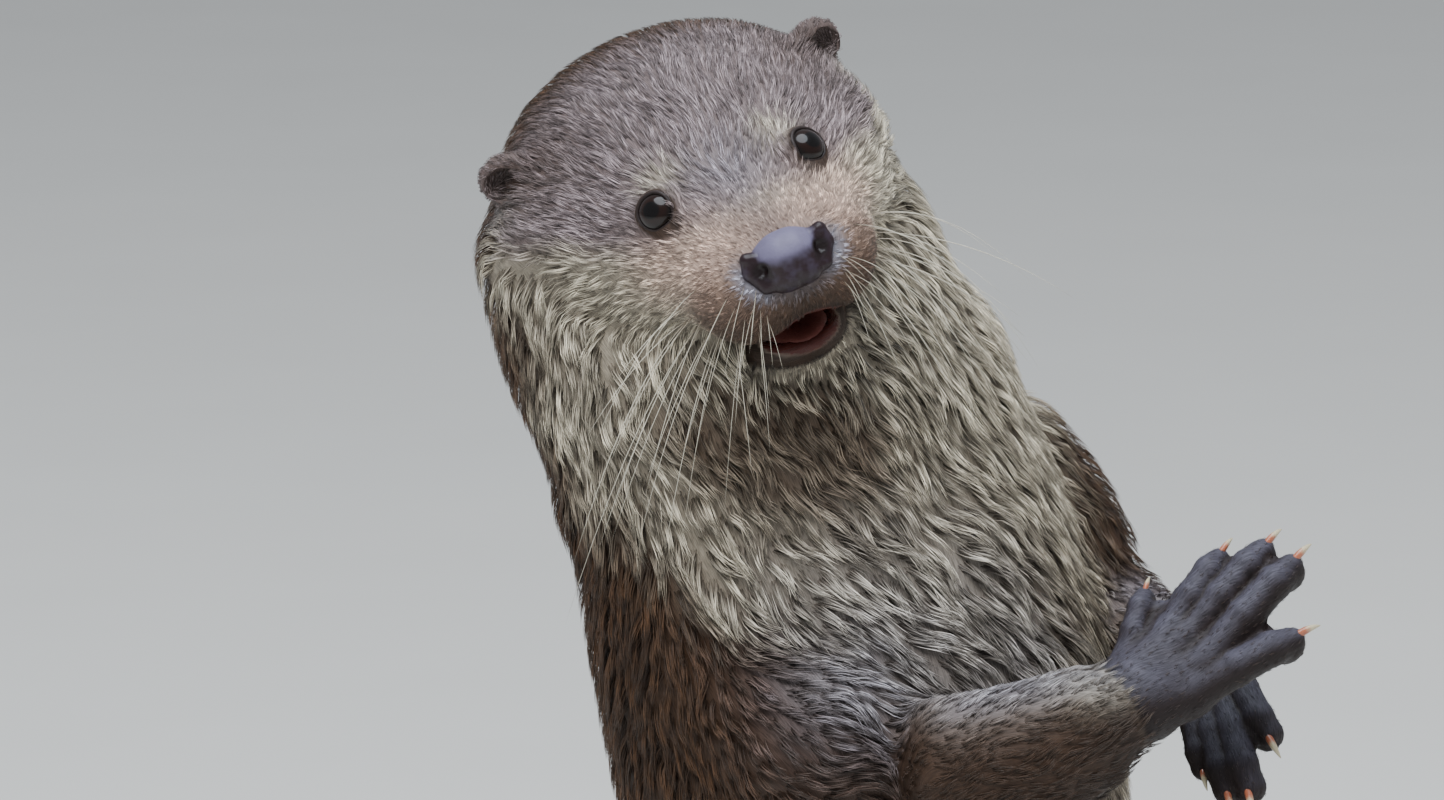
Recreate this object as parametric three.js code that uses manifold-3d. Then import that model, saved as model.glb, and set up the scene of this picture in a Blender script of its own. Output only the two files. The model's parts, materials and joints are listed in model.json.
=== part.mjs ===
// Eurasian otter, life size, reared up on its hind feet with its tail laid on the floor as a prop.
// Its neck leans to its right, its head is turned that way and tilted, its mouth is a little open,
// its right hand is held out in front of the chest, and its left hand hangs behind and below that.
// Millimetres, +Z up. It faces -Y, and its own left is +X. The origin is under the middle of its box.
// Outlines are those of the coat's tips. Each part of the body is a closed solid with a thin gap to the next.

import * as THREE from "three";
import { mergeVertices } from "three/addons/utils/BufferGeometryUtils.js";
import Module from "manifold-3d";

const wasm = await Module();
wasm.setup();

// ---- Driving dimensions ----

const GAP = 0.3; // clearance between neighbouring pieces
const LEFT = 1;
const RIGHT = -1;

// The body's centre line from inside the head to the tail's tip. side, back and front are the section's
// half sizes: to the flanks, to the back (the top of the tail) and to the belly (the tail's underside).
const SPINE = [
  { at: [-42, 88, 612], side: 52, back: 42, front: 48 },
  { at: [-36, 74, 584], side: 68, back: 59, front: 62 },
  { at: [-27, 56, 542], side: 74, back: 66, front: 69 },
  { at: [-18, 40, 492], side: 79, back: 70, front: 74 },
  { at: [-13, 28, 440], side: 81, back: 72, front: 78 },
  { at: [-7, 21, 370], side: 76, back: 69, front: 76 },
  { at: [-3, 18, 290], side: 71, back: 65, front: 73 },
  { at: [0, 26, 205], side: 74, back: 65, front: 79 },
  { at: [0, 48, 125], side: 72, back: 60, front: 69 },
  { at: [2, 88, 66], side: 51, back: 46, front: 48 },
  { at: [7, 142, 40], side: 38, back: 31, front: 35 },
  { at: [20, 222, 26], side: 30, back: 24, front: 27 },
  { at: [40, 306, 18], side: 22, back: 17, front: 19 },
  { at: [56, 388, 11], side: 14, back: 11, front: 12.5 },
  { at: [60, 468, 6], side: 6, back: 5, front: 7.2 },
];
// Where the body is parted, as places on that line, counted in stations from the head's end.
const SPINE_CUTS = [2.6, 5, 7.2, 9.3, 10.9, 12, 13];
const SPINE_NODES = ["neck", "chest", "belly", "hips", "tail_1", "tail_2", "tail_3", "tail_4"];

// The head: the point between the eyes, and how it is turned, nodded and tilted from facing -Y.
const HEAD_AT = [-79, 23, 613];
const HEAD_TURN = -33;
const HEAD_NOD = 4.7;
const HEAD_TILT = -21.4;

// The skull with its coat, from the muzzle back, in the head's own frame (-Y forward, +Z up).
// up and down are the section's half heights.
const SKULL = [
  { y: -43, z: -22, side: 15, up: 10, down: 11 },
  { y: -37, z: -21.5, side: 23, up: 13.5, down: 14 },
  { y: -26, z: -21, side: 30, up: 17, down: 15.5 },
  { y: -12, z: -20, side: 35, up: 21.5, down: 17 },
  { y: 2, z: -20, side: 42, up: 29, down: 24 },
  { y: 20, z: -20, side: 51, up: 39, down: 38 },
  { y: 42, z: -20, side: 58, up: 46, down: 49 },
  { y: 64, z: -20, side: 61, up: 49, down: 54 },
  { y: 86, z: -21, side: 59, up: 49, down: 53 },
  { y: 108, z: -24, side: 44, up: 34, down: 42 },
];
// Rounded swellings (or hollows) of the face: centre, reach and height. Each is made on both sides.
const FACE_SWELLINGS = [
  { at: [17, -33, -25], reach: 12, height: 3 }, // whisker pads
  { at: [17, -29, -35], reach: 9, height: 3.6 }, // upper lips
  { at: [24, 6, 9], reach: 10, height: 2.2 }, // brows
  { at: [44, 16, -24], reach: 18, height: 3 }, // cheeks
  { at: [27, -3, -1], reach: 9, height: -1.6 }, // eye sockets
  { at: [12, -14, 4], reach: 9, height: -1.5 }, // sides of the nose's bridge
];
const JAW = [
  { y: -30, z: -46, side: 9, up: 3.5, down: 5 },
  { y: -20, z: -46.5, side: 14.5, up: 4.5, down: 8 },
  { y: 0, z: -47, side: 23, up: 8, down: 12.5 },
  { y: 26, z: -50, side: 32, up: 14, down: 18 },
];
const PALATE = { at: [0, -22, -38], size: [14, 20, 9] };
const JAW_TROUGH = { at: [0, -14, -42.5], size: [10.5, 15, 4.5] };
const TONGUE = { at: [0, -10, -43], size: [8.5, 16, 3.6] };
const NOSE = { at: [0, -38.5, -15], size: [14.3, 8.5, 9.5] };
const NOSTRIL = { at: [10, -45, -14.5], size: [3.2, 4, 2.2] };
const EYE = { at: [22.6, 0.5, -0.3], radius: 7.2 };
const EAR = { at: [51, 62, 8.5], size: [10.5, 6, 9.5], slant: 18 };
const EAR_CUP = { at: [1.5, -5.5, -1], size: [6.8, 6, 6.2] };

// Limbs: joints and the half thickness of the flesh and coat at each. The third is the elbow or the knee.
const ARMS = {
  right: {
    joints: [
      { at: [-60, 32, 472], side: 34, up: 32 },
      { at: [-73, -4, 449], side: 31, up: 30 },
      { at: [-76, -39, 437], side: 28, up: 28 },
      { at: [-57, -68, 447], side: 26, up: 24 },
      { at: [-29, -86, 463], side: 18, up: 16 },
    ],
    hand: { wrist: [-25.5, -87.9, 464], towards: [46.8, -26.6, 37], back: [-0.59, -0.49, 0.64], spread: 1 },
  },
  left: {
    joints: [
      { at: [34, 30, 524], side: 29, up: 27 },
      { at: [52, 11, 496], side: 26, up: 26 },
      { at: [64, -5, 466], side: 22, up: 22 },
      { at: [49, -36, 463], side: 17, up: 17 },
      { at: [39, -59, 469], side: 13.5, up: 13 },
    ],
    hand: { wrist: [38, -60, 470], towards: [-27, -44, -37], back: [-0.6, -0.1, 0.56], spread: 0.62 },
  },
};
const LEG = {
  joints: [
    { at: [34, 44, 150], side: 50, up: 40 },
    { at: [56, 10, 132], side: 45, up: 35 },
    { at: [74, -20, 108], side: 31, up: 27 },
    { at: [71, 8, 64], side: 23, up: 21 },
    { at: [65, 37, 23], side: 15, up: 14 },
  ],
  foot: { wrist: [64, 36, 9.2], towards: [0.16, -1, 0], back: [0, 0, 1], spread: 1 },
};

// A paw lies in its own frame: x towards the inner digit, y towards the tips, z towards its back.
// Digits run from the inner one outwards: where each starts and ends, and its half thickness.
const HAND = {
  palm: [
    { y: -9, side: 15, up: 13, down: 12 },
    { y: 6, side: 18, up: 11, down: 11 },
    { y: 20, side: 20, up: 8.5, down: 9 },
    { y: 31, side: 17, up: 6.5, down: 7 },
  ],
  digits: [
    { from: [11, 4], to: [26, 25], thick: 4.4 },
    { from: [10, 20], to: [20, 50], thick: 5.4 },
    { from: [5, 22], to: [13, 62], thick: 6 },
    { from: [-4, 22], to: [3.5, 65], thick: 6.4 },
    { from: [-9, 12], to: [-16, 50], thick: 6.3 },
  ],
  web: 0.58,
  droop: 4,
  sink: 0,
};
const FOOT = {
  palm: [
    { y: -14, side: 11, up: 12, down: 9 },
    { y: 2, side: 13.5, up: 17, down: 9.6 },
    { y: 30, side: 18, up: 11.5, down: 9.8 },
    { y: 58, side: 25, up: 8, down: 9.6 },
  ],
  digits: [
    { from: [15, 40], to: [31, 66], thick: 5 },
    { from: [12, 50], to: [21, 84], thick: 6 },
    { from: [3, 54], to: [6, 92], thick: 6.4 },
    { from: [-7, 54], to: [-11, 91], thick: 6.4 },
    { from: [-15, 46], to: [-28, 79], thick: 6 },
  ],
  web: 0.72,
  droop: 3,
  sink: 3.6,
};
const CLAW = [
  { y: -5, z: 1.2, thick: 2.6 },
  { y: 1, z: 1.6, thick: 2.5 },
  { y: 4.8, z: 0.6, thick: 1.6 },
  { y: 7.6, z: -1.6, thick: 0.6 },
];

// ---- Finishes ----

const finish = (color, roughness) => new THREE.MeshStandardMaterial({ color, roughness, metalness: 0 });
const BROWN_COAT = finish(0x4d3c33, 0.85);
const PALE_COAT = finish(0x9a9080, 0.85);
const FACE_COAT = finish(0x80706a, 0.85);
const PAW_SKIN = finish(0x3e3437, 0.6);
const NOSE_SKIN = finish(0x2c2429, 0.4);
const EYE_GLASS = finish(0x0d0808, 0.08);
const MOUTH_SKIN = finish(0x6b2a22, 0.45);
const CLAW_HORN = finish(0xd9a183, 0.4);

// ---- Shapes ----

const vector = (list) => new THREE.Vector3(...list);

/** A smooth line through the stations' places, and a smooth change of their half sizes along it. */
function lineOf(stations) {
  const line = new THREE.CatmullRomCurve3(stations.map((s) => vector(s.at)));
  const sizes = new THREE.CatmullRomCurve3(
    stations.map((s) => new THREE.Vector3(s.side, s.back, s.front)),
    false,
    "catmullrom",
  );
  return { line, sizes };
}

/**
 * A closed tube with domed ends round a smooth line.
 * across points from the line towards the section's side. domes are the lengths of the two rounded ends,
 * and steps is the number of rings in each.
 */
function loft(stations, { sides, rings, across = [1, 0, 0], domes = [4, 4], steps = 3, grow = 0 }) {
  const { line, sizes } = lineOf(stations);
  const length = line.getLength();
  const places = ringPlaces(length, rings, domes, steps);
  const positions = [];
  const index = [];
  for (const { at, share } of places) {
    const t = line.getUtoTmapping(at / length);
    const centre = line.getPoint(t);
    const along = line.getTangent(t);
    const side = vector(across).addScaledVector(along, -along.dot(vector(across))).normalize();
    const back = side.clone().cross(along);
    const size = sizes.getPoint(t).addScalar(grow).multiplyScalar(share);
    for (let k = 0; k < sides; k++) {
      const angle = (2 * Math.PI * k) / sides;
      const height = Math.sin(angle) * (Math.sin(angle) > 0 ? size.y : size.z);
      const point = centre.clone().addScaledVector(side, Math.cos(angle) * size.x);
      positions.push(...point.addScaledVector(back, height));
    }
  }
  for (let i = 0; i + 1 < places.length; i++) {
    for (let k = 0; k < sides; k++) {
      const [a, b] = [i * sides + k, i * sides + ((k + 1) % sides)];
      index.push(a, a + sides, b, b, a + sides, b + sides);
    }
  }
  const last = (places.length - 1) * sides;
  const ends = [line.getPoint(0), line.getPoint(1)];
  const tips = [line.getTangent(0).multiplyScalar(-grow), line.getTangent(1).multiplyScalar(grow)];
  ends.forEach((end, i) => positions.push(...end.add(tips[i])));
  for (let k = 0; k < sides; k++) {
    const next = (k + 1) % sides;
    index.push(last + sides, k, next, last + sides + 1, last + next, last + k);
  }
  const geometry = new THREE.BufferGeometry();
  geometry.setAttribute("position", new THREE.Float32BufferAttribute(positions, 3));
  geometry.setIndex(index);
  return geometry;
}

/** Where a tube's rings lie along it, and how much of its full size each has. */
function ringPlaces(length, rings, domes, steps) {
  const angles = Array.from({ length: steps }, (_, i) => ((i + 0.5) * Math.PI) / 2 / steps);
  const dome = (size) => angles.map((a) => ({ at: size * (1 - Math.cos(a)), share: Math.sin(a) }));
  const plain = Array.from({ length: rings + 1 }, (_, i) => ({
    at: domes[0] + ((length - domes[0] - domes[1]) * i) / rings,
    share: 1,
  }));
  const end = dome(domes[1]).map(({ at, share }) => ({ at: length - at, share }));
  return [...dome(domes[0]), ...plain, ...end.reverse()];
}

/** Moves each point of a surface outwards by the swellings near it. */
function swell(geometry, swellings) {
  geometry.computeVertexNormals();
  const { position, normal } = geometry.attributes;
  for (let i = 0; i < position.count; i++) {
    const point = new THREE.Vector3().fromBufferAttribute(position, i);
    const outwards = new THREE.Vector3().fromBufferAttribute(normal, i);
    let lift = 0;
    for (const { at, reach, height } of swellings) {
      for (const mirror of [LEFT, RIGHT]) {
        const distance = point.distanceTo(new THREE.Vector3(mirror * at[0], at[1], at[2]));
        lift += height * Math.exp(-((distance / reach) ** 2));
      }
    }
    point.addScaledVector(outwards, lift);
    position.setXYZ(i, ...point);
  }
  return geometry;
}

/** A ball stretched to three half sizes, mirrored to the animal's left or right, and moved to its place. */
function pebble({ at, size }, { mirror = LEFT, sides = 12, grow = 0 } = {}) {
  const geometry = new THREE.SphereGeometry(1, sides, Math.round(sides * 0.6));
  geometry.scale(size[0] + grow, size[1] + grow, size[2] + grow);
  return geometry.translate(mirror * at[0], at[1], at[2]);
}

/** The closed surface as a solid that can be joined and cut. */
function solid(geometry) {
  const bare = new THREE.BufferGeometry();
  bare.setAttribute("position", geometry.getAttribute("position"));
  bare.setIndex(geometry.index);
  const merged = mergeVertices(bare, 1e-3);
  return new wasm.Manifold(
    new wasm.Mesh({
      numProp: 3,
      vertProperties: new Float32Array(merged.attributes.position.array),
      triVerts: new Uint32Array(merged.index.array),
    }),
  );
}

/** A solid's surface as a geometry. */
function surface(shape) {
  const mesh = shape.getMesh();
  const geometry = new THREE.BufferGeometry();
  geometry.setAttribute("position", new THREE.BufferAttribute(new Float32Array(mesh.vertProperties), 3));
  geometry.setIndex(new THREE.BufferAttribute(new Uint32Array(mesh.triVerts), 1));
  geometry.computeVertexNormals();
  return geometry;
}

const join = (shapes) => shapes.reduce((all, next) => all.add(next));
const cut = (shape, ...tools) => tools.reduce((left, tool) => left.subtract(tool), shape);
const largest = (shape) => shape.decompose().sort((a, b) => b.volume() - a.volume())[0];

/** A thin flat blade across a line at a place counted in stations, wide enough to part what is there. */
function blade(stations, place, room = 14) {
  const { line, sizes } = lineOf(stations);
  const t = place / (stations.length - 1);
  const size = sizes.getPoint(t);
  const width = 2 * (Math.max(size.x, size.y, size.z) + room);
  const geometry = new THREE.BoxGeometry(width, GAP, width);
  const turn = new THREE.Quaternion().setFromUnitVectors(new THREE.Vector3(0, 1, 0), line.getTangent(t));
  geometry.applyQuaternion(turn).translate(...line.getPoint(t));
  return solid(geometry);
}

/** The pieces of a parted shape in their order along a line. */
function inOrder(shape, stations) {
  const points = lineOf(stations).line.getSpacedPoints(60);
  const place = (piece) => {
    const { min, max } = piece.boundingBox();
    const middle = vector(min).add(vector(max)).multiplyScalar(0.5);
    const distances = points.map((p) => p.distanceTo(middle));
    return distances.indexOf(Math.min(...distances));
  };
  return shape.decompose().sort((a, b) => place(a) - place(b));
}

// ---- Body ----

const floorBlock = solid(new THREE.BoxGeometry(1200, 1400, 100).translate(0, 150, -50));

/** The neck, trunk and tail in one, with flats where they lie on the floor. */
function bodyShape(grow = 0) {
  return solid(loft(SPINE, { sides: 16, rings: 25, domes: [20, 8], steps: 2, grow }));
}

// ---- Head ----

const headFrame = new THREE.Group();
headFrame.position.set(...HEAD_AT);
headFrame.rotation.set(...[HEAD_NOD, HEAD_TILT, HEAD_TURN].map(THREE.MathUtils.degToRad), "ZXY");

/** The stations of a head part as places on its line. */
const headStations = (list) =>
  list.map(({ y, z, side, up, down }) => ({ at: [0, y, z], side, back: up, front: down }));

/** A head part's surface, taken from the head's own frame to the body's. */
function onHead(geometry) {
  headFrame.updateMatrixWorld(true);
  return solid(geometry.applyMatrix4(headFrame.matrixWorld));
}

function skullShape(grow = 0) {
  const skull = loft(headStations(SKULL), { sides: 20, rings: 15, domes: [6, 14], steps: 2, grow });
  return onHead(swell(skull, FACE_SWELLINGS));
}

function jawShape(grow = 0) {
  return onHead(loft(headStations(JAW), { sides: 12, rings: 4, domes: [7, 6], steps: 2, grow }));
}

const noseShape = (grow = 0) => onHead(pebble(NOSE, { sides: 14, grow }));

function eyeShape(mirror, grow = 0) {
  const { at, radius } = EYE;
  return onHead(pebble({ at, size: [radius, radius, radius] }, { mirror, sides: 12, grow }));
}

/** An ear's rounded shell with the hollow that faces forward. */
function earShape(mirror, grow = 0) {
  const slant = THREE.MathUtils.degToRad(EAR.slant) * mirror;
  const place = (geometry) =>
    onHead(geometry.rotateZ(slant).translate(mirror * EAR.at[0], EAR.at[1], EAR.at[2]));
  const shell = place(pebble({ at: [0, 0, 0], size: EAR.size }, { sides: 10, grow }));
  return grow ? shell : shell.subtract(place(pebble(EAR_CUP, { mirror, sides: 8 })));
}

/** Every piece of the head by name, with its finish. */
function headPieces() {
  const palate = onHead(pebble(PALATE));
  const trough = onHead(pebble(JAW_TROUGH));
  const eyes = [LEFT, RIGHT].map((mirror) => eyeShape(mirror, GAP));
  const nostrils = [LEFT, RIGHT].map((mirror) => onHead(pebble(NOSTRIL, { mirror, sides: 6 })));
  const head = largest(cut(skullShape(), palate, noseShape(GAP), ...eyes));
  const jaw = largest(cut(jawShape(), skullShape(GAP), trough));
  const tongue = largest(cut(onHead(pebble(TONGUE)), cut(jawShape(GAP), trough), skullShape(GAP)));
  const pieces = [
    ["head", head, FACE_COAT],
    ["jaw", jaw, PALE_COAT],
    ["tongue", tongue, MOUTH_SKIN],
    ["nose", largest(cut(noseShape(), ...nostrils)), NOSE_SKIN],
  ];
  for (const [name, mirror] of [["left", LEFT], ["right", RIGHT]]) {
    pieces.push(["ear_" + name, largest(cut(earShape(mirror), skullShape(GAP))), FACE_COAT]);
    pieces.push(["eye_" + name, eyeShape(mirror), EYE_GLASS]);
  }
  return pieces;
}

// ---- Paws ----

/** The matrix that carries a paw's frame to its place on the body. */
function pawFrame({ wrist, towards, back }) {
  const y = vector(towards).normalize();
  const z = vector(back).addScaledVector(y, -y.dot(vector(back))).normalize();
  return new THREE.Matrix4().makeBasis(y.clone().cross(z), y, z).setPosition(...wrist);
}

/** A digit's line: straight along the paw, sunk below its middle, then drooping a little at its tip. */
function digitStations({ from, to, thick }, inner, { droop, sink }) {
  const place = (share, z) => {
    const x = inner * THREE.MathUtils.lerp(from[0], to[0], share);
    return [x, THREE.MathUtils.lerp(from[1], to[1], share), z - sink];
  };
  return [
    { at: place(0, 0), side: thick * 0.9, back: thick * 0.9, front: thick * 0.9 },
    { at: place(0.5, 1), side: thick * 0.94, back: thick * 0.85, front: thick * 0.85 },
    { at: place(0.82, 0), side: thick * 1.05, back: thick * 0.9, front: thick * 0.9 },
    { at: place(1, -droop * 0.5), side: thick * 0.8, back: thick * 0.75, front: thick * 0.75 },
  ];
}

/** A flat web between two neighbouring digits, from the palm out to a share of their length. */
function webBetween(one, other, inner, { web: reach, sink }, grow) {
  const end = (d, share) => new THREE.Vector2(...d.from).lerp(new THREE.Vector2(...d.to), share);
  const middle = end(one, reach / 2).add(end(other, reach / 2)).multiplyScalar(0.5);
  const width = end(one, reach).distanceTo(end(other, reach)) * 0.5;
  const length = end(one, 0).distanceTo(end(one, reach)) * 0.62;
  const lie = end(one, 1).add(end(other, 1)).sub(end(one, 0)).sub(end(other, 0));
  const geometry = pebble({ at: [0, 0, 0], size: [width, length, 2.2] }, { sides: 6, grow });
  const turned = geometry.rotateZ(-inner * Math.atan2(lie.x, lie.y));
  return solid(turned.translate(inner * middle.x, middle.y, -sink));
}

/** A paw's flesh in its own frame. inner is which way its inner digit lies. */
function pawFlesh(plan, inner, grow = 0) {
  const palm = plan.palm.map(({ y, side, up, down }) => ({ at: [0, y, 0], side, back: up, front: down }));
  const digits = plan.digits.map((digit) => {
    const shape = { sides: 6, rings: 2, domes: [2, digit.thick], steps: 2, grow };
    return solid(loft(digitStations(digit, inner, plan), shape));
  });
  const webs = plan.digits
    .slice(1)
    .map((digit, i) => webBetween(plan.digits[i], digit, inner, plan, grow));
  return join([solid(loft(palm, { sides: 9, rings: 2, domes: [5, 5], steps: 1, grow })), ...digits, ...webs]);
}

/** The claw at a digit's tip, in the paw's frame. */
function clawShape({ from, to, thick }, inner, { droop, sink }) {
  const turn = -inner * Math.atan2(to[0] - from[0], to[1] - from[1]);
  const stations = CLAW.map(({ y, z, thick: half }) => {
    return { at: [0, y, z], side: half * 0.8, back: half, front: half };
  });
  const claw = loft(stations, { sides: 5, rings: 1, domes: [1, 0.8], steps: 1 });
  return solid(claw.rotateZ(turn).translate(inner * to[0], to[1], thick * 0.2 - droop * 0.5 - sink));
}

/** A paw and its claws on the body. */
function paw(plan, place, inner) {
  const frame = pawFrame(place);
  const onBody = (shape) => solid(surface(shape).applyMatrix4(frame));
  const spread = ([x, y]) => [x * place.spread, y];
  const digits = plan.digits.map((d) => ({ ...d, from: spread(d.from), to: spread(d.to) }));
  const own = { ...plan, digits };
  const grown = pawFlesh(own, inner, GAP);
  return {
    flesh: onBody(pawFlesh(own, inner)),
    grown: onBody(grown),
    claws: digits.map((digit) => onBody(largest(cut(clawShape(digit, inner, plan), grown)))),
  };
}

// ---- Limbs ----

/** A limb's joints as stations of a loft, mirrored to the animal's left or right. */
const limbStations = (joints, mirror) =>
  joints.map(({ at, side, up }) => ({ at: [mirror * at[0], at[1], at[2]], side, back: up, front: up }));

/** The two lengths of a limb above its paw, clear of the body, of each other and of the paw. */
function limbLengths(stations, body, grownPaw) {
  const shape = { sides: 10, rings: 4, across: [0, 0, 1], steps: 2 };
  const upper = stations.slice(0, 3);
  const lower = stations.slice(2);
  const bend = upper[2].side * 0.6;
  const upperShape = (grow) => solid(loft(upper, { ...shape, domes: [14, bend], grow }));
  const lowerShape = solid(loft(lower, { ...shape, domes: [bend, 5] }));
  return [largest(cut(upperShape(0), body)), largest(cut(lowerShape, body, upperShape(GAP), grownPaw))];
}

/** A foreleg's pieces by name. */
function armPieces(name, inner, body) {
  const { joints, hand } = ARMS[name];
  const { flesh, grown, claws } = paw(HAND, hand, inner);
  const [upper, fore] = limbLengths(limbStations(joints, 1), body, grown);
  return [
    ["upper_arm_" + name, upper, BROWN_COAT],
    ["forearm_" + name, fore, BROWN_COAT],
    ["hand_" + name, flesh, PAW_SKIN],
    ...claws.map((claw, i) => [`claw_hand_${name}_${i + 1}`, claw, CLAW_HORN]),
  ];
}

/** A hind leg's pieces by name. */
function legPieces(name, mirror, body) {
  const { wrist, towards, back, spread } = LEG.foot;
  const place = {
    wrist: [mirror * wrist[0], wrist[1], wrist[2]],
    towards: [mirror * towards[0], towards[1], towards[2]],
    back,
    spread,
  };
  const { flesh, grown, claws } = paw(FOOT, place, mirror);
  const [thigh, shank] = limbLengths(limbStations(LEG.joints, mirror), body, grown);
  return [
    ["thigh_" + name, thigh, BROWN_COAT],
    ["shank_" + name, shank, BROWN_COAT],
    ["foot_" + name, flesh.subtract(floorBlock), PAW_SKIN],
    ...claws.map((claw, i) => [`claw_foot_${name}_${i + 1}`, claw, CLAW_HORN]),
  ];
}

// ---- The whole animal ----

/** The neck, trunk and tail, parted by thin blades and named from the head's end. */
function bodyPieces() {
  const mouth = [PALATE, TONGUE].map((hollow) => onHead(pebble(hollow, { grow: GAP })));
  const whole = largest(cut(bodyShape(), skullShape(GAP), jawShape(GAP), ...mouth, floorBlock));
  const blades = SPINE_CUTS.map((place) => blade(SPINE, place));
  const lengths = inOrder(cut(whole, ...blades), SPINE);
  return lengths.map((shape, i) => [SPINE_NODES[i], shape, i === 0 ? PALE_COAT : BROWN_COAT]);
}

/** Adds the pieces to a group as meshes, each in the group's own frame. */
function putIn(group, pieces) {
  group.updateMatrixWorld(true);
  const toGroup = group.matrixWorld.clone().invert();
  for (const [name, shape, material] of pieces) {
    const mesh = new THREE.Mesh(surface(shape).applyMatrix4(toGroup), material);
    mesh.name = name;
    group.add(mesh);
  }
  return group;
}

const grownBody = bodyShape(GAP);
const animal = new THREE.Group();
animal.add(putIn(headFrame, headPieces()));
animal.add(putIn(new THREE.Group(), bodyPieces()));
animal.add(putIn(new THREE.Group(), armPieces("right", RIGHT, grownBody)));
animal.add(putIn(new THREE.Group(), armPieces("left", LEFT, grownBody)));
animal.add(putIn(new THREE.Group(), legPieces("right", RIGHT, grownBody)));
animal.add(putIn(new THREE.Group(), legPieces("left", LEFT, grownBody)));

// The origin goes under the middle of the whole.
const otter = new THREE.Group();
otter.add(animal);
const bounds = new THREE.Box3().setFromObject(otter, true);
animal.position.set(-(bounds.min.x + bounds.max.x) / 2, -(bounds.min.y + bounds.max.y) / 2, -bounds.min.z);

export default otter;
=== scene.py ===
"""Eurasian otter, life size, reared up on its hind feet: one skin, its coat and its bare parts.

Sizes are in millimetres unless a name says otherwise, and meshes are in metres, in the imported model's frame.
The head has its own frame: x to the otter's left, y backwards, z up, from the point between the eyes.
"""

import json
import logging
import math
from dataclasses import dataclass
from enum import Enum
from itertools import product
from typing import Callable

import bpy
import numpy as np
from mathutils import Matrix, Vector, noise
from mathutils.bvhtree import BVHTree
from mathutils.kdtree import KDTree

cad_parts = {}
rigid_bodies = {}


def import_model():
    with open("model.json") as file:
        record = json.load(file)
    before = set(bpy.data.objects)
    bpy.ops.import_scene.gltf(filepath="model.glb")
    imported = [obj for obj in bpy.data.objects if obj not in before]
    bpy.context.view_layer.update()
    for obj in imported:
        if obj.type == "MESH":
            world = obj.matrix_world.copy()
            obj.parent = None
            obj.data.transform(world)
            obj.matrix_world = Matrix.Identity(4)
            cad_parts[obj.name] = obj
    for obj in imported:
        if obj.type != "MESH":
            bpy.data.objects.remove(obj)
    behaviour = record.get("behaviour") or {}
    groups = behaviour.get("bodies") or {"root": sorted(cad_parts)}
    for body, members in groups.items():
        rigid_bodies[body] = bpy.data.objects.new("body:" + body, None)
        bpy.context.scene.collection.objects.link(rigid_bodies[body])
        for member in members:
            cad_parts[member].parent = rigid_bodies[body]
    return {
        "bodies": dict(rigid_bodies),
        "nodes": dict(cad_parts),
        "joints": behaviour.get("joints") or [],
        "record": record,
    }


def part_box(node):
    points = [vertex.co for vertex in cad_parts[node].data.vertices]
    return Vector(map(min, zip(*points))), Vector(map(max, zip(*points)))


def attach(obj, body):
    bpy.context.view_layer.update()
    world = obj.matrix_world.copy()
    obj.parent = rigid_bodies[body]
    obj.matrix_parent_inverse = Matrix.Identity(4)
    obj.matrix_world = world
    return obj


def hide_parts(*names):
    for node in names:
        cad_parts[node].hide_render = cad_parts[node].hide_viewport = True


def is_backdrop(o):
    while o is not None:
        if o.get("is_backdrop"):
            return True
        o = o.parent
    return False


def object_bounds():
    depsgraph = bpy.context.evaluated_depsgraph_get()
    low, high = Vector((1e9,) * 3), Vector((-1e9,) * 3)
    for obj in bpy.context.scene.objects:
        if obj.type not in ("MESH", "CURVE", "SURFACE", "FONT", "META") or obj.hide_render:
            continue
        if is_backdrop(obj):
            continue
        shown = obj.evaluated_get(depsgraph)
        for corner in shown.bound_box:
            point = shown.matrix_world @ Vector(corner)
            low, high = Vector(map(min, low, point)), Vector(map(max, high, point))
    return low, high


LOG = logging.getLogger("otter")
MM = 0.001
UNWRAP = "OFBake"

FLOOR_GAP = 0.0004  # metres from the floor up to the skin of the soles

Array = np.ndarray
Mesh, Object, Material = bpy.types.Mesh, bpy.types.Object, bpy.types.Material
Node, Socket, NodeTree = bpy.types.Node, bpy.types.NodeSocket, bpy.types.NodeTree

# ---- The body's lines, in millimetres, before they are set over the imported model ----

HEAD_AT = (-79, 23, 613)
HEAD_TURN, HEAD_NOD, HEAD_TILT = -33, 4.7, -21.4  # degrees, from facing -Y
EYE_AT = (22.6, 0.5, -0.3)
EYE_RADIUS = 7.2
EYE_AXIS = (0.51, -0.66, 0.55)
SPINE = (
    (-42, 88, 612), (-36, 74, 584), (-27, 56, 542), (-18, 40, 492), (-13, 28, 440),
    (-7, 21, 370), (-3, 18, 290), (0, 26, 205), (0, 48, 125), (2, 88, 66),
    (7, 142, 40), (20, 222, 26), (40, 306, 18), (56, 388, 11), (60, 468, 6),
)
ARM_RIGHT = (
    (-60, 32, 472), (-73, -4, 449), (-76, -39, 437), (-57, -68, 447), (-29, -86, 463), (17.8, -114.5, 501),
)
ARM_LEFT = ((34, 30, 524), (52, 11, 496), (64, -5, 466), (49, -36, 463), (39, -59, 469), (11, -104, 433))
LEG = ((34, 44, 150), (56, 10, 132), (74, -20, 108), (71, 8, 64), (65, 37, 23), (64, 36, 9), (78, -54, 9))
# Each paw's wrist or heel, where its digits and its back point, and how far the digits are spread.
HAND_RIGHT = ((-25.5, -87.9, 464), (46.8, -26.6, 37), (-0.59, -0.49, 0.64), 1.0)
HAND_LEFT = ((38, -60, 470), (-27, -44, -37), (-0.6, -0.1, 0.56), 0.62)
FOOT_RIGHT = ((-64, 36, 9.2), (-0.16, -1, 0), (0, 0, 1), 1.0)
FOOT_LEFT = ((64, 36, 9.2), (0.16, -1, 0), (0, 0, 1), 1.0)


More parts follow.
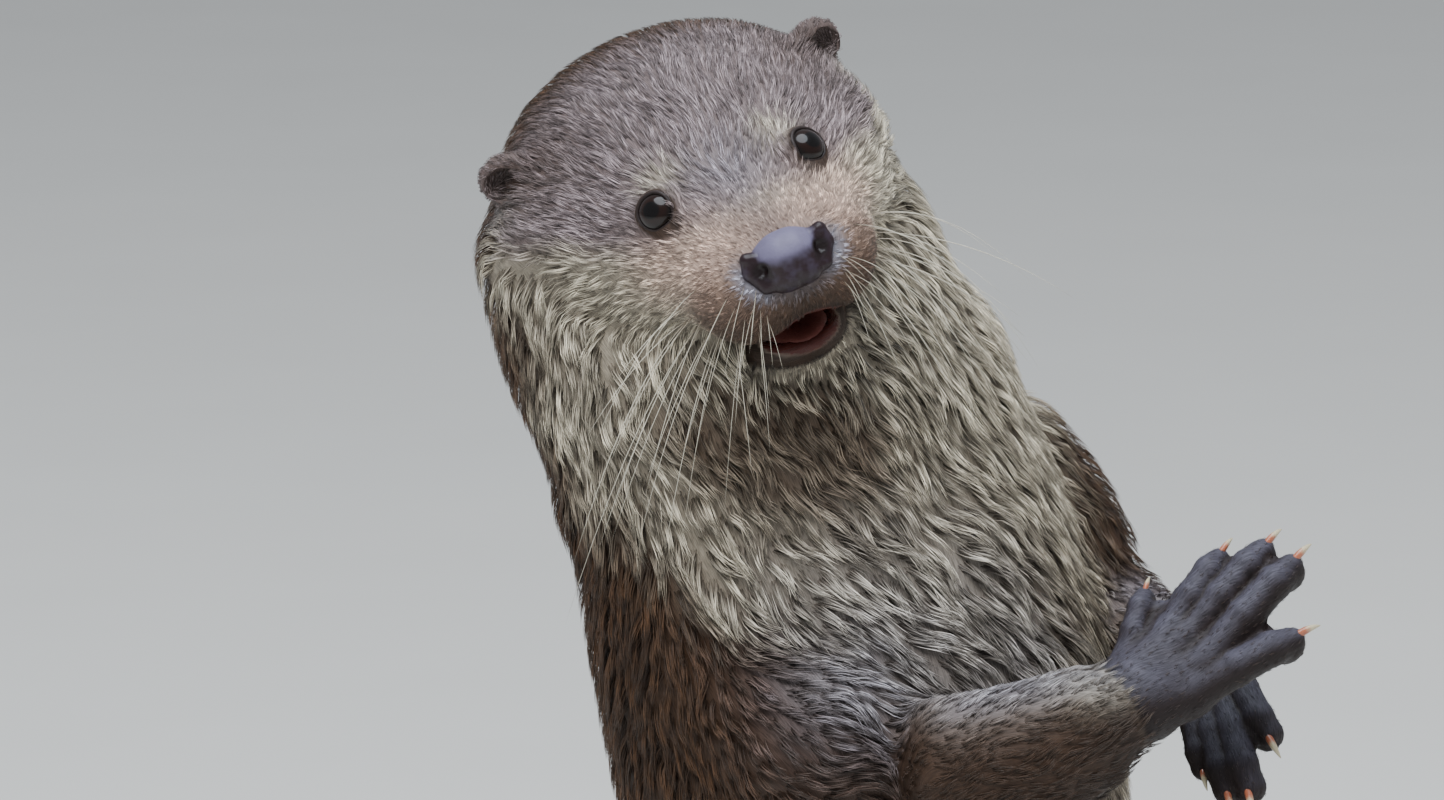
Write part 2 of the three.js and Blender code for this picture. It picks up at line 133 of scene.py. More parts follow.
def ramp(low: float, high: float, x: Array) -> Array:
    """0 below low, 1 above high, and an even curve between."""
    t = np.clip((x - low) / (high - low), 0.0, 1.0)
    return t * t * (3.0 - 2.0 * t)


def length_of(rows: Array) -> Array:
    """The length of each row."""
    return np.linalg.norm(rows, axis=1)


def unit(vectors: Array) -> Array:
    """Each row as a vector of length one."""
    return vectors / np.maximum(np.linalg.norm(vectors, axis=-1, keepdims=True), 1e-12)


def bump(points: Array, at: tuple, reach: tuple) -> Array:
    """A soft bump, 1 at a place and falling off over a reach along each axis."""
    return np.exp(-(((points - np.array(at)) / np.array(reach)) ** 2).sum(1))


def mottle(points: Array, size: float, seed: float) -> Array:
    """Smooth noise from about -1 to 1, with patches of a size in metres."""
    at = points / size + seed
    return np.array([noise.noise(p) for p in at.tolist()]) * 1.6


def read(items: bpy.types.bpy_prop_collection, name: str, width: int, kind: type = float) -> Array:
    """A mesh's values of one name, as rows of a width."""
    values = np.empty(len(items) * width, kind)
    items.foreach_get(name, values)
    return values.reshape(-1, width)


def points_of(obj: Object) -> Array:
    """The mesh's vertices, one row each."""
    return read(obj.data.vertices, "co", 3)


def place_points(obj: Object, points: Array) -> None:
    """Moves the mesh's vertices."""
    obj.data.vertices.foreach_set("co", points.ravel())
    obj.data.update()


def normals_of(obj: Object) -> Array:
    """The mesh's vertex normals, one row each."""
    return read(obj.data.vertices, "normal", 3)


def triangles_of(obj: Object) -> Array:
    """The mesh's triangles, as rows of three vertex numbers."""
    obj.data.calc_loop_triangles()
    return read(obj.data.loop_triangles, "vertices", 3, np.int32)


class Neighbours:
    """Which vertices of a mesh are joined by edges."""

    def __init__(self, obj: Object) -> None:
        """Lists each vertex's neighbours, one slot at a time."""
        count = len(obj.data.vertices)
        edges = read(obj.data.edges, "vertices", 2, np.int32)
        both = np.concatenate((edges, edges[:, ::-1]))
        both = both[np.argsort(both[:, 0], kind="stable")]
        degree = np.bincount(both[:, 0], minlength=count)
        slot = np.arange(len(both)) - (np.cumsum(degree) - degree)[both[:, 0]]
        self.slots = [both[slot == k].T for k in range(degree.max())]
        self.degree = np.maximum(degree, 1).astype(np.float32)[:, None]

    def around(self, rows: Array) -> Array:
        """The mean of each vertex's neighbours."""
        total = np.zeros_like(rows)
        for own, other in self.slots:
            if len(own) == len(rows):
                total += rows[other]
            else:
                total[own] += rows[other]
        return total / self.degree


def spread(values: Array, joined: Neighbours, rounds: int, share: float | Array = 0.5) -> Array:
    """Evens values out over a mesh.

    Args:
        values: One row for each vertex.
        joined: The vertices' neighbours.
        rounds: How many times each vertex moves towards the mean of its neighbours.
        share: How far it moves each time, for all vertices or for each.

    Returns:
        The evened values, in the same shape.
    """
    rows = values.reshape(len(values), -1).astype(np.float32)
    share = np.broadcast_to(np.asarray(share, np.float32), (len(values),))[:, None]
    for _ in range(rounds):
        rows += share * (joined.around(rows) - rows)
    return rows.reshape(values.shape).astype(float)


def even_surface(obj: Object, rounds: int, share: float | Array = 1, joined: "Neighbours" = None) -> None:
    """Smooths a mesh without shrinking it, by a step in and a step out.

    Args:
        obj: The mesh's object.
        rounds: How many times both steps are taken.
        share: How much of the steps each vertex takes.
        joined: The vertices' neighbours, if they are known.
    """
    points, joined = points_of(obj), joined or Neighbours(obj)
    for _ in range(rounds):
        points = spread(points, joined, 1, 0.6 * np.asarray(share))
        points = spread(points, joined, 1, -0.62 * np.asarray(share))
    place_points(obj, points)


def link(obj: Object) -> None:
    """Puts an object in the scene."""
    bpy.context.scene.collection.objects.link(obj)


def copied(obj: Object) -> Object:
    """A copy with a mesh of its own, in the scene."""
    copy = obj.copy()
    copy.data = obj.data.copy()
    link(copy)
    return copy


def only(*objects: Object) -> None:
    """Selects these objects alone, and makes the first one active."""
    bpy.ops.object.select_all(action="DESELECT")
    for obj in objects:
        obj.select_set(True)
    bpy.context.view_layer.objects.active = objects[0]


def modify(obj: Object, kind: str, **values: object) -> None:
    """Adds a modifier with these properties, and applies it.

    Args:
        obj: The object.
        kind: The modifier's type.
        values: Its properties by name.
    """
    only(obj)
    modifier = obj.modifiers.new(kind.lower(), kind)
    for name, value in values.items():
        setattr(modifier, name, value)
    bpy.ops.object.modifier_apply(modifier=modifier.name)


def edit(obj: Object, operator: Callable, **values: object) -> None:
    """Runs an operator on a whole mesh in edit mode.

    Args:
        obj: The mesh's object.
        operator: The operator.
        values: What it is given, by name.
    """
    only(obj)
    bpy.ops.object.mode_set(mode="EDIT")
    bpy.ops.mesh.select_all(action="SELECT")
    operator(**values)
    bpy.ops.object.mode_set(mode="OBJECT")


def store(obj: Object, name: str, values: Array) -> None:
    """Keeps numbers or vectors on a mesh's vertices under a name, for the materials to read."""
    kind, key = ("FLOAT", "value") if values.ndim == 1 else ("FLOAT_VECTOR", "vector")
    obj.data.attributes.new(name, kind, "POINT").data.foreach_set(key, values.astype(np.float32).ravel())


def capsule(points: Array, start: tuple, end: tuple, first: float, last: float) -> Array:
    """The distance from points to a round bar.

    Args:
        points: The points.
        start: The middle of one end.
        end: The middle of the other.
        first: The radius at the start.
        last: The radius at the end.

    Returns:
        The signed distances.
    """
    start, end = np.array(start, float), np.array(end, float)
    line = end - start
    t = np.clip((points - start) @ line / max(line @ line, 1e-9), 0, 1)
    return length_of(points - start - t[:, None] * line) - (first + t * (last - first))


def pebble(points: Array, at: tuple, size: tuple) -> Array:
    """About the distance from points to an ellipsoid.

    Args:
        points: The points.
        at: Its middle.
        size: Its half sizes.

    Returns:
        The signed distances.
    """
    away = (points - np.array(at, float)) / np.array(size, float)
    length = length_of(away)
    slope = length_of(away / np.array(size, float))
    return length * (length - 1) / np.maximum(slope, 1e-9)


def slab(points: Array, at: tuple, half: tuple, corner: float) -> Array:
    """The distance from points to a box with round corners."""
    past = np.abs(points - np.array(at, float)) - (np.array(half, float) - corner)
    return length_of(np.maximum(past, 0)) + np.minimum(past.max(1), 0) - corner


def merge(a: Array, b: Array, fillet: float) -> Array:
    """The distance from two shapes joined with a fillet."""
    h = np.clip(0.5 + 0.5 * (b - a) / fillet, 0, 1)
    return b + (a - b) * h - fillet * h * (1 - h)


def carve(a: Array, b: Array, rim: float) -> Array:
    """The distance from the first shape less the second, with a soft rim."""
    return -merge(-a, b, rim)


def draw_to(points: Array, distance: Callable, rounds: int, share: Array, limit: float) -> Array:
    """Moves points onto the surface of a shape.

    Args:
        points: Where they are.
        distance: The shape, as the signed distance of points from it.
        rounds: How many steps they take.
        share: How much of each step each point takes, 0 to 1.
        limit: The longest step.

    Returns:
        The moved points.
    """
    for _ in range(rounds):
        here = distance(points)
        slope = np.stack([distance(points + step) - here for step in np.eye(3) * 0.05], 1) / 0.05
        slope /= np.maximum((slope**2).sum(1), 0.2)[:, None]
        points = points - slope * (np.clip(here, -limit, limit) * share)[:, None]
    return points


class Side(Enum):
    """The otter's own sides, as the sign of x."""

    LEFT = 1
    RIGHT = -1

    @classmethod
    def of(cls, name: str) -> "Side":
        """The side that a node's name ends with."""
        return cls.LEFT if name.endswith("left") else cls.RIGHT


class Placed:
    """Something with a frame of its own in the model."""

    origin: Array  # in metres
    axes: Array  # columns

    def local(self, points: Array) -> Array:
        """Points in metres, as millimetres in its frame."""
        return (points - self.origin) @ self.axes / MM

    def world(self, points: Array) -> Array:
        """Points in its millimetres, as metres in the model's frame."""
        return self.origin + np.asarray(points, float) @ self.axes.T * MM


@dataclass(frozen=True)
class HeadFrame(Placed):
    """The head's place and axes, which point left, back and up."""

    origin: Array
    axes: Array

    @classmethod
    def from_eyes(cls, turn: float, nod: float, tilt: float) -> "HeadFrame":
        """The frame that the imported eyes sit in.

        Args:
            turn: Degrees by which the head is turned from facing -Y.
            nod: Degrees by which it nods.
            tilt: Degrees by which it tilts to a side.

        Returns:
            The frame.
        """
        axes = (
            Matrix.Rotation(math.radians(turn), 3, "Z")
            @ Matrix.Rotation(math.radians(nod), 3, "X")
            @ Matrix.Rotation(math.radians(tilt), 3, "Y")
        )
        corners = [c for name in ("eye_left", "eye_right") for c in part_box(name)]
        middle = sum(corners, Vector()) / 4
        origin = middle - axes @ Vector((0, EYE_AT[1], EYE_AT[2])) * MM
        return cls(np.array(origin), np.array(axes))

    def turned(self, vectors: Array) -> Array:
        """Directions in the head's frame, as directions in the model's."""
        return np.asarray(vectors, float) @ self.axes.T


@dataclass(frozen=True)
class Eye:
    """An eye's place and the shape of its opening, in the head's frame."""

    centre: Array
    axis: Array  # out of the middle of the opening
    side: Side

    OPEN = 48.5  # degrees from the axis to the lids

    @property
    def frame(self) -> Array:
        """Columns: towards the nose, up and out."""
        out = unit(self.axis)
        up = unit(np.array((0, 0, 1.0)) - out * out[2])
        inwards = np.cross(up, out) * self.side.value
        return np.stack((inwards if inwards[0] * self.side.value < 0 else -inwards, up, out), 1)

    def angles(self, away: Array) -> tuple[Array, Array]:
        """Each direction's angle from the axis, and its turn round it from the nose's side, in degrees."""
        a, b, c = (unit(away) @ self.frame).T
        return np.degrees(np.arccos(np.clip(c, -1, 1))), np.degrees(np.arctan2(b, a))

    def opening(self, spin: Array) -> Array:
        """The angle from the axis to the lids' edge at each turn."""
        corner = np.exp(-(((spin + 25) / 26) ** 2)) + 0.45 * np.exp(-(((np.abs(spin) - 180) / 30) ** 2))
        return self.OPEN - 3.5 * np.abs(np.cos(np.radians(spin))) + 7.5 * corner

    def place(self, turn: Array, spin: Array, reach: Array) -> Array:
        """A place round the eye.

        Args:
            turn: Its angle from the axis, in degrees.
            spin: Its turn round the axis, in degrees.
            reach: Its distance from the eye's centre.

        Returns:
            The place in the head's frame.
        """
        turn, spin = np.radians(turn), np.radians(spin)
        rows = np.stack((np.sin(turn) * np.cos(spin), np.sin(turn) * np.sin(spin), np.cos(turn)), -1)
        return self.centre + (rows * np.asarray(reach)[..., None]) @ self.frame.T


class CentreLine:
    """A smooth line down the middle of the body or a limb."""

    BATCH = 20000  # points that are compared with the line at a time

    def __init__(self, stations: tuple, shift: Array, reference: tuple, per_span: int = 24) -> None:
        """Lays the line.

        Args:
            stations: Places in millimetres that it passes through.
            shift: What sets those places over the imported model, in millimetres.
            reference: The direction from which angles round the line are counted.
            per_span: Points of the finished line to each span.
        """
        at = np.array(stations, float) + shift
        at = np.vstack((2 * at[0] - at[1], at, 2 * at[-1] - at[-2]))
        t = np.linspace(0, 1, per_span, endpoint=False)[:, None]
        rows = []
        for a, b, c, d in zip(at[:-3], at[1:-2], at[2:-1], at[3:]):
            square, cube = 2 * a - 5 * b + 4 * c - d, 3 * b - a - 3 * c + d
            rows.append(0.5 * (2 * b + (c - a) * t + square * t**2 + cube * t**3))
        self.points = np.vstack((*rows, at[-2:-1])) * MM
        self.tangents = unit(np.gradient(self.points, axis=0))
        steps = length_of(np.diff(self.points, axis=0))
        self.lengths = np.concatenate(((0,), np.cumsum(steps))) / MM
        reference = np.array(reference, float)
        self.zero = unit(reference - self.tangents * (self.tangents @ reference)[:, None])
        self.quarter = np.cross(self.zero, self.tangents)

    def read(self, points: Array) -> tuple[Array, Array, Array, Array]:
        """Where points lie about the line.

        Args:
            points: Places in metres.

        Returns:
            The place along the line in millimetres, the angle round it in degrees, the distance from it in
            millimetres, and the line's direction there.
        """
        near = np.empty(len(points), int)
        for start in range(0, len(points), self.BATCH):
            part = points[start : start + self.BATCH]
            gaps = (part**2).sum(1)[:, None] - 2 * part @ self.points.T + (self.points**2).sum(1)
            near[start : start + self.BATCH] = gaps.argmin(1)
        away = points - self.points[near]
        along = self.lengths[near] + (away * self.tangents[near]).sum(1) / MM
        away = away - self.tangents[near] * (away * self.tangents[near]).sum(1)[:, None]
        angle = np.degrees(np.arctan2((away * self.quarter[near]).sum(1), (away * self.zero[near]).sum(1)))
        return along, angle, length_of(away) / MM, self.tangents[near]


@dataclass(frozen=True)
class Growth:
    """How hair grows on one part of the body, in millimetres."""

    depth: float  # from the coat's surface down to the skin
    length: float
    width: float
    spacing: float  # between tufts
    strands: float  # to a tuft
    reach: float  # from a tuft's middle to its outer roots
    gather: float  # how far the tips draw together, 0 to 1
    wave: float  # how far a tuft swings sideways


class Part(Enum):
    """The parts of the body, each with the solids it is made from and the way its hair grows."""

    HEAD = (("head", "jaw"), Growth(2.1, 8.8, 0.3, 1.7, 6, 1.1, 0.62, 0.4))
    EARS = (("ear_left", "ear_right"), Growth(0.8, 3.6, 0.26, 1.25, 5, 0.8, 0.3, 0.2))
    NECK = (("neck",), Growth(4.6, 14.0, 0.44, 3.3, 13, 2.2, 0.84, 1.2))
    CHEST = (("chest",), Growth(4.6, 15.0, 0.46, 3.5, 13, 2.3, 0.84, 1.2))
    BELLY = (("belly",), Growth(4.6, 15.0, 0.72, 5.8, 9, 3.2, 0.62, 1.0))
    HIPS = (("hips",), Growth(4.6, 15.0, 0.78, 6.0, 9, 3.3, 0.62, 0.9))
    TAIL = (("tail_1", "tail_2", "tail_3", "tail_4"), Growth(2.6, 12.0, 0.7, 4.8, 7, 2.4, 0.6, 0.5))
    UPPER_ARM = (("upper_arm_right", "upper_arm_left"), Growth(3.8, 13.0, 0.46, 3.4, 11, 2.0, 0.78, 0.9))
    FOREARM = (("forearm_right", "forearm_left"), Growth(1.8, 7.0, 0.34, 2.5, 8, 1.5, 0.5, 0.4))
    HAND = (("hand_right", "hand_left"), Growth(0.42, 2.6, 0.2, 2.1, 3, 0.9, 0.3, 0.1))
    THIGH = (("thigh_right", "thigh_left"), Growth(4.2, 14.0, 0.7, 5.2, 9, 2.8, 0.7, 0.9))
    SHANK = (("shank_right", "shank_left"), Growth(2.6, 9.0, 0.55, 3.7, 8, 2.0, 0.6, 0.4))
    FOOT = (("foot_right", "foot_left"), Growth(0.5, 2.8, 0.28, 2.6, 3, 1.0, 0.3, 0.1))

    @property
    def nodes(self) -> tuple:
        """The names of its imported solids."""
        return self.value[0]

    @property
    def growth(self) -> Growth:
        """How its hair grows."""
        return self.value[1]


PART_LIST = list(Part)
ARM = (Part.UPPER_ARM, Part.FOREARM, Part.HAND)
LEG_PARTS = (Part.THIGH, Part.SHANK, Part.FOOT)
HEAD_PARTS = (Part.HEAD, Part.EARS)
FLESH = tuple(name for part in Part for name in part.nodes)


def among(numbers: Array, parts: tuple) -> Array:
    """Whether each part number is one of these parts'."""
    return np.isin(numbers, [PART_LIST.index(part) for part in parts])


def mirrored(at: tuple, side: Side) -> Array:
    """A place or direction that is given for the left side, on this side."""
    return np.array((side.value * at[0], at[1], at[2]))


def folded(points: Array) -> Array:
    """Points of the head with the right side laid over the left."""
    return np.abs(points) * (1, 0, 0) + points * (0, 1, 1)


class Anatomy:
    """The frames and lines that shapes, markings and the lie of the coat are measured in."""

    def __init__(self) -> None:
        """Finds the head's frame from the eyes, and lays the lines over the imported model."""
        self.head = HeadFrame.from_eyes(HEAD_TURN, HEAD_NOD, HEAD_TILT)
        self.shift = self.head.origin / MM - np.array(HEAD_AT)
        self.eyes = {side: Eye(mirrored(EYE_AT, side), mirrored(EYE_AXIS, side), side) for side in Side}
        self.spine = CentreLine(SPINE, self.shift, (0, -1, -0.02))
        self.arms = {
            Side.RIGHT: CentreLine(ARM_RIGHT, self.shift, (0, 0, 1)),
            Side.LEFT: CentreLine(ARM_LEFT, self.shift, (0, 0, 1)),
        }
        self.legs = {
            side: CentreLine(tuple(mirrored(at, side) for at in LEG), self.shift, (side.value, 0, 0))
            for side in Side
        }
        self.paws = {
            "hand_right": Paw(HAND, self.shift, Side.RIGHT, *HAND_RIGHT),
            "hand_left": Paw(HAND, self.shift, Side.LEFT, *HAND_LEFT),
            "foot_right": Paw(FOOT, self.shift, Side.RIGHT, *FOOT_RIGHT),
            "foot_left": Paw(FOOT, self.shift, Side.LEFT, *FOOT_LEFT),
        }

    def place(self, plan: tuple) -> Array:
        """A place in the plan's millimetres, as metres in the model's frame."""
        return (np.array(plan, float) + self.shift) * MM


@dataclass(frozen=True)
class Digit:
    """A finger or toe in its paw's frame: where it starts and ends, and its half thickness."""

    start: tuple
    end: tuple
    thick: float

    def at(self, share: float, height: float, inner: float) -> Array:
        """A place on its middle line."""
        x = self.start[0] + (self.end[0] - self.start[0]) * share
        y = self.start[1] + (self.end[1] - self.start[1]) * share
        return np.array((inner * x, y, height))

    @property
    def length(self) -> float:
        """How long it is."""
        return math.dist(self.start, self.end)


@dataclass(frozen=True)
class PawKind:
    """The build of a hand or a foot."""

    digits: tuple
    heel: tuple  # where the bones of the palm start: spread, place along, height
    heel_thick: float
    pads: tuple  # the palm's pads: place and size
    web: float
    droop: float
    sink: float
    wrist: tuple  # a bar from the limb: start, end, radii


HAND = PawKind(
    digits=(
        Digit((11, 4), (26, 25), 4.4),
        Digit((10, 20), (20, 50), 5.4),
        Digit((5, 22), (13, 62), 6.0),
        Digit((-4, 22), (3.5, 65), 6.4),
        Digit((-9, 12), (-16, 50), 6.3),
    ),
    heel=(0.5, -3.0, 1.0),
    heel_thick=8.6,
    pads=(((0, 14, -5), (14, 11, 5.0)), ((-5, 0, -5), (7, 7, 5.0))),
    web=0.6,
    droop=4.0,
    sink=0.0,
    wrist=((0, -16, 0), (0, 2, 0), 12.5, 10.5),
)
FOOT = PawKind(
    digits=(
        Digit((15, 40), (31, 66), 5.0),
        Digit((12, 50), (21, 84), 6.0),
        Digit((3, 54), (6, 92), 6.4),
        Digit((-7, 54), (-11, 91), 6.4),
        Digit((-15, 46), (-28, 79), 6.0),
    ),
    heel=(0.3, -4.0, -0.5),
    heel_thick=8.8,
    pads=(((0, 52, -5), (19, 11, 4.6)), ((0, -3, -2), (10, 11, 8.0))),
    web=0.7,
    droop=3.0,
    sink=3.6,
    wrist=((0, 2, 18), (0, 6, 2), 12.5, 12.0),
)


class Paw(Placed):
    """One hand or foot in its place, as a smooth shape made of bones, pads and webs."""

    CLAW, CLAW_DIGIT = 0.6, 6.2  # a claw's size, and the thickness of digit that it is for

    def __init__(
        self, kind: PawKind, shift: Array, inner: Side, wrist: tuple, towards: tuple, back: tuple, span: float
    ) -> None:
        """Places the paw.

        Args:
            kind: Its build.
            shift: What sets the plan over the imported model, in millimetres.
            inner: The side on which its first digit lies.
            wrist: Where it starts, in the plan.
            towards: The direction of its digits.
            back: The direction of its back.
            span: How far its digits are spread, 1 for fully.
        """
        self.kind, self.inner = kind, inner.value
        y = unit(np.array(towards, float))
        z = np.array(back, float)
        z = unit(z - y * (y @ z))
        self.axes = np.stack((np.cross(y, z), y, z), 1)
        self.origin = (np.array(wrist, float) + shift) * MM
        self.digits = tuple(
            Digit((d.start[0] * span, d.start[1]), (d.end[0] * span, d.end[1]), d.thick) for d in kind.digits
        )

    def _digit(self, points: Array, digit: Digit) -> Array:
        """One digit, with its knuckles, its end pad and the fold over its claw.

        Args:
            points: Points in the paw's frame.
            digit: Which digit.

        Returns:
            The signed distances.
        """
        k, t, n = self.kind, digit.thick, self.inner
        last = 1 - 0.8 * t / digit.length
        root, knuckle = digit.at(0, -k.sink, n), digit.at(0.42, 1.4 - k.sink, n)
        joint, tip = digit.at(0.74, 0.9 - k.sink, n), digit.at(last, -k.droop * 0.4 - k.sink, n)
        shape = capsule(points, root, knuckle, t * 0.92, t * 0.86)
        shape = merge(shape, capsule(points, knuckle, joint, t * 0.88, t * 0.8), 1.0)
        shape = merge(shape, capsule(points, joint, tip, t * 0.84, t * 0.74), 1.0)
        pad = digit.at(last - 0.02, -k.droop * 0.4 - k.sink - t * 0.26, n)
        shape = merge(shape, pebble(points, pad, (t * 0.8, t * 0.92, t * 0.66)), 1.2)
        fold = digit.at(1 - 0.35 * t / digit.length, t * 0.3 - k.droop * 0.5 - k.sink, n)
        return merge(shape, capsule(points, joint + (0, 0, t * 0.1), fold, t * 0.5, t * 0.36), 1.6)

    def at_tip(self, digit: Digit, shape: Array) -> Array:
        """Sets a claw on the end of a digit.

        Args:
            digit: The digit.
            shape: The claw's points, along y.

        Returns:
            Its points in the paw's frame.
        """
        k, n = self.kind, self.inner
        dx, dy = n * (digit.end[0] - digit.start[0]), digit.end[1] - digit.start[1]
        ahead = np.array((dx, dy, 0.0)) / math.hypot(dx, dy)
        beside = np.array((ahead[1], -ahead[0], 0.0))
        size = self.CLAW * digit.thick / self.CLAW_DIGIT
        tip = np.array((n * digit.end[0], digit.end[1], 0.34 * digit.thick - k.droop / 2 - k.sink))
        return tip + (shape[:, :1] * beside + shape[:, 1:2] * ahead + shape[:, 2:] * (0, 0, 1)) * size

    def distance(self, points: Array) -> Array:
        """The signed distance from points in the paw's frame, in millimetres."""
        k, n = self.kind, self.inner
        start, end, first, last = k.wrist
        palm = capsule(points, start, end, first, last)
        for digit in self.digits:
            heel = np.array((n * digit.start[0] * k.heel[0], k.heel[1], k.heel[2]))
            ray = capsule(points, heel, digit.at(0, -k.sink, n), k.heel_thick, digit.thick * 0.98)
            palm = merge(palm, ray, 3.5)
        for at, size in k.pads:
            palm = merge(palm, pebble(points, (n * at[0], at[1], at[2]), size), 4.0)
        fingers = None
        for digit in self.digits:
            one = self._digit(points, digit)
            fingers = one if fingers is None else merge(fingers, one, 0.7)
        shape = merge(palm, fingers, 3.0)
        for one, other in zip(self.digits[:-1], self.digits[1:]):
            for share in np.arange(0.05, k.web + 0.01, 0.09):
                height = -k.sink + 0.2
                sheet = capsule(points, one.at(share, height, n), other.at(share, height, n), 1.7, 1.7)
                shape = merge(shape, sheet, 2.2)
        return shape


class Fields:
    """What is known of each point of the skin: its part, and where it lies on the head and the spine."""

    def __init__(self, anatomy: Anatomy, tree: "PartTree", obj: Object) -> None:
        """Reads the fields of a mesh's vertices."""
        self.anatomy = anatomy
        self.points = points_of(obj)
        self.normals = normals_of(obj)
        self.joined = Neighbours(obj)
        self.part, self.side = tree.read(self.points)
        self.head = anatomy.head.local(self.points)
        self.along, self.angle, self.away, self.down = anatomy.spine.read(self.points)
        self.weights = spread(np.eye(len(PART_LIST))[self.part], self.joined, 24)

    def weight(self, *parts: Part) -> Array:
        """How much each point belongs to these parts, from 0 to 1."""
        return sum(self.weights[:, PART_LIST.index(p)] for p in parts)

    def growth(self, name: str) -> Array:
        """One measure of the hair's growth at each point, blended where parts meet."""
        return self.weights @ np.array([getattr(p.growth, name) for p in PART_LIST])

    def limbs(self) -> list:
        """Each limb's points, and what its line reads there.

        Returns:
            For each limb, the points' numbers and the line's four readings.
        """
        found = []
        for parts, lines in ((ARM, self.anatomy.arms), (LEG_PARTS, self.anatomy.legs)):
            for side, line in lines.items():
                index = np.nonzero(among(self.part, parts) & (self.side == side.value))[0]
                found.append((index, *line.read(self.points[index])))
        return found


class PartTree:
    """Tells which part of the body a place is nearest to."""

    def __init__(self, nodes: dict) -> None:
        """Gathers the triangles of all flesh solids."""
        vertices, faces, self.labels = [], [], []
        for number, part in enumerate(PART_LIST):
            for name in part.nodes:
                triangles = triangles_of(nodes[name]) + len(vertices)
                vertices.extend(points_of(nodes[name]).tolist())
                faces.extend(triangles.tolist())
                self.labels.extend([(number, Side.of(name).value)] * len(triangles))
        self.labels = np.array(self.labels)
        self.tree = BVHTree.FromPolygons(vertices, faces)

    def read(self, points: Array) -> tuple[Array, Array]:
        """The part's number and the side's sign at each point."""
        found = [self.tree.find_nearest(p)[2] for p in points.tolist()]
        return tuple(self.labels[found].T)


# ---- Markings ----


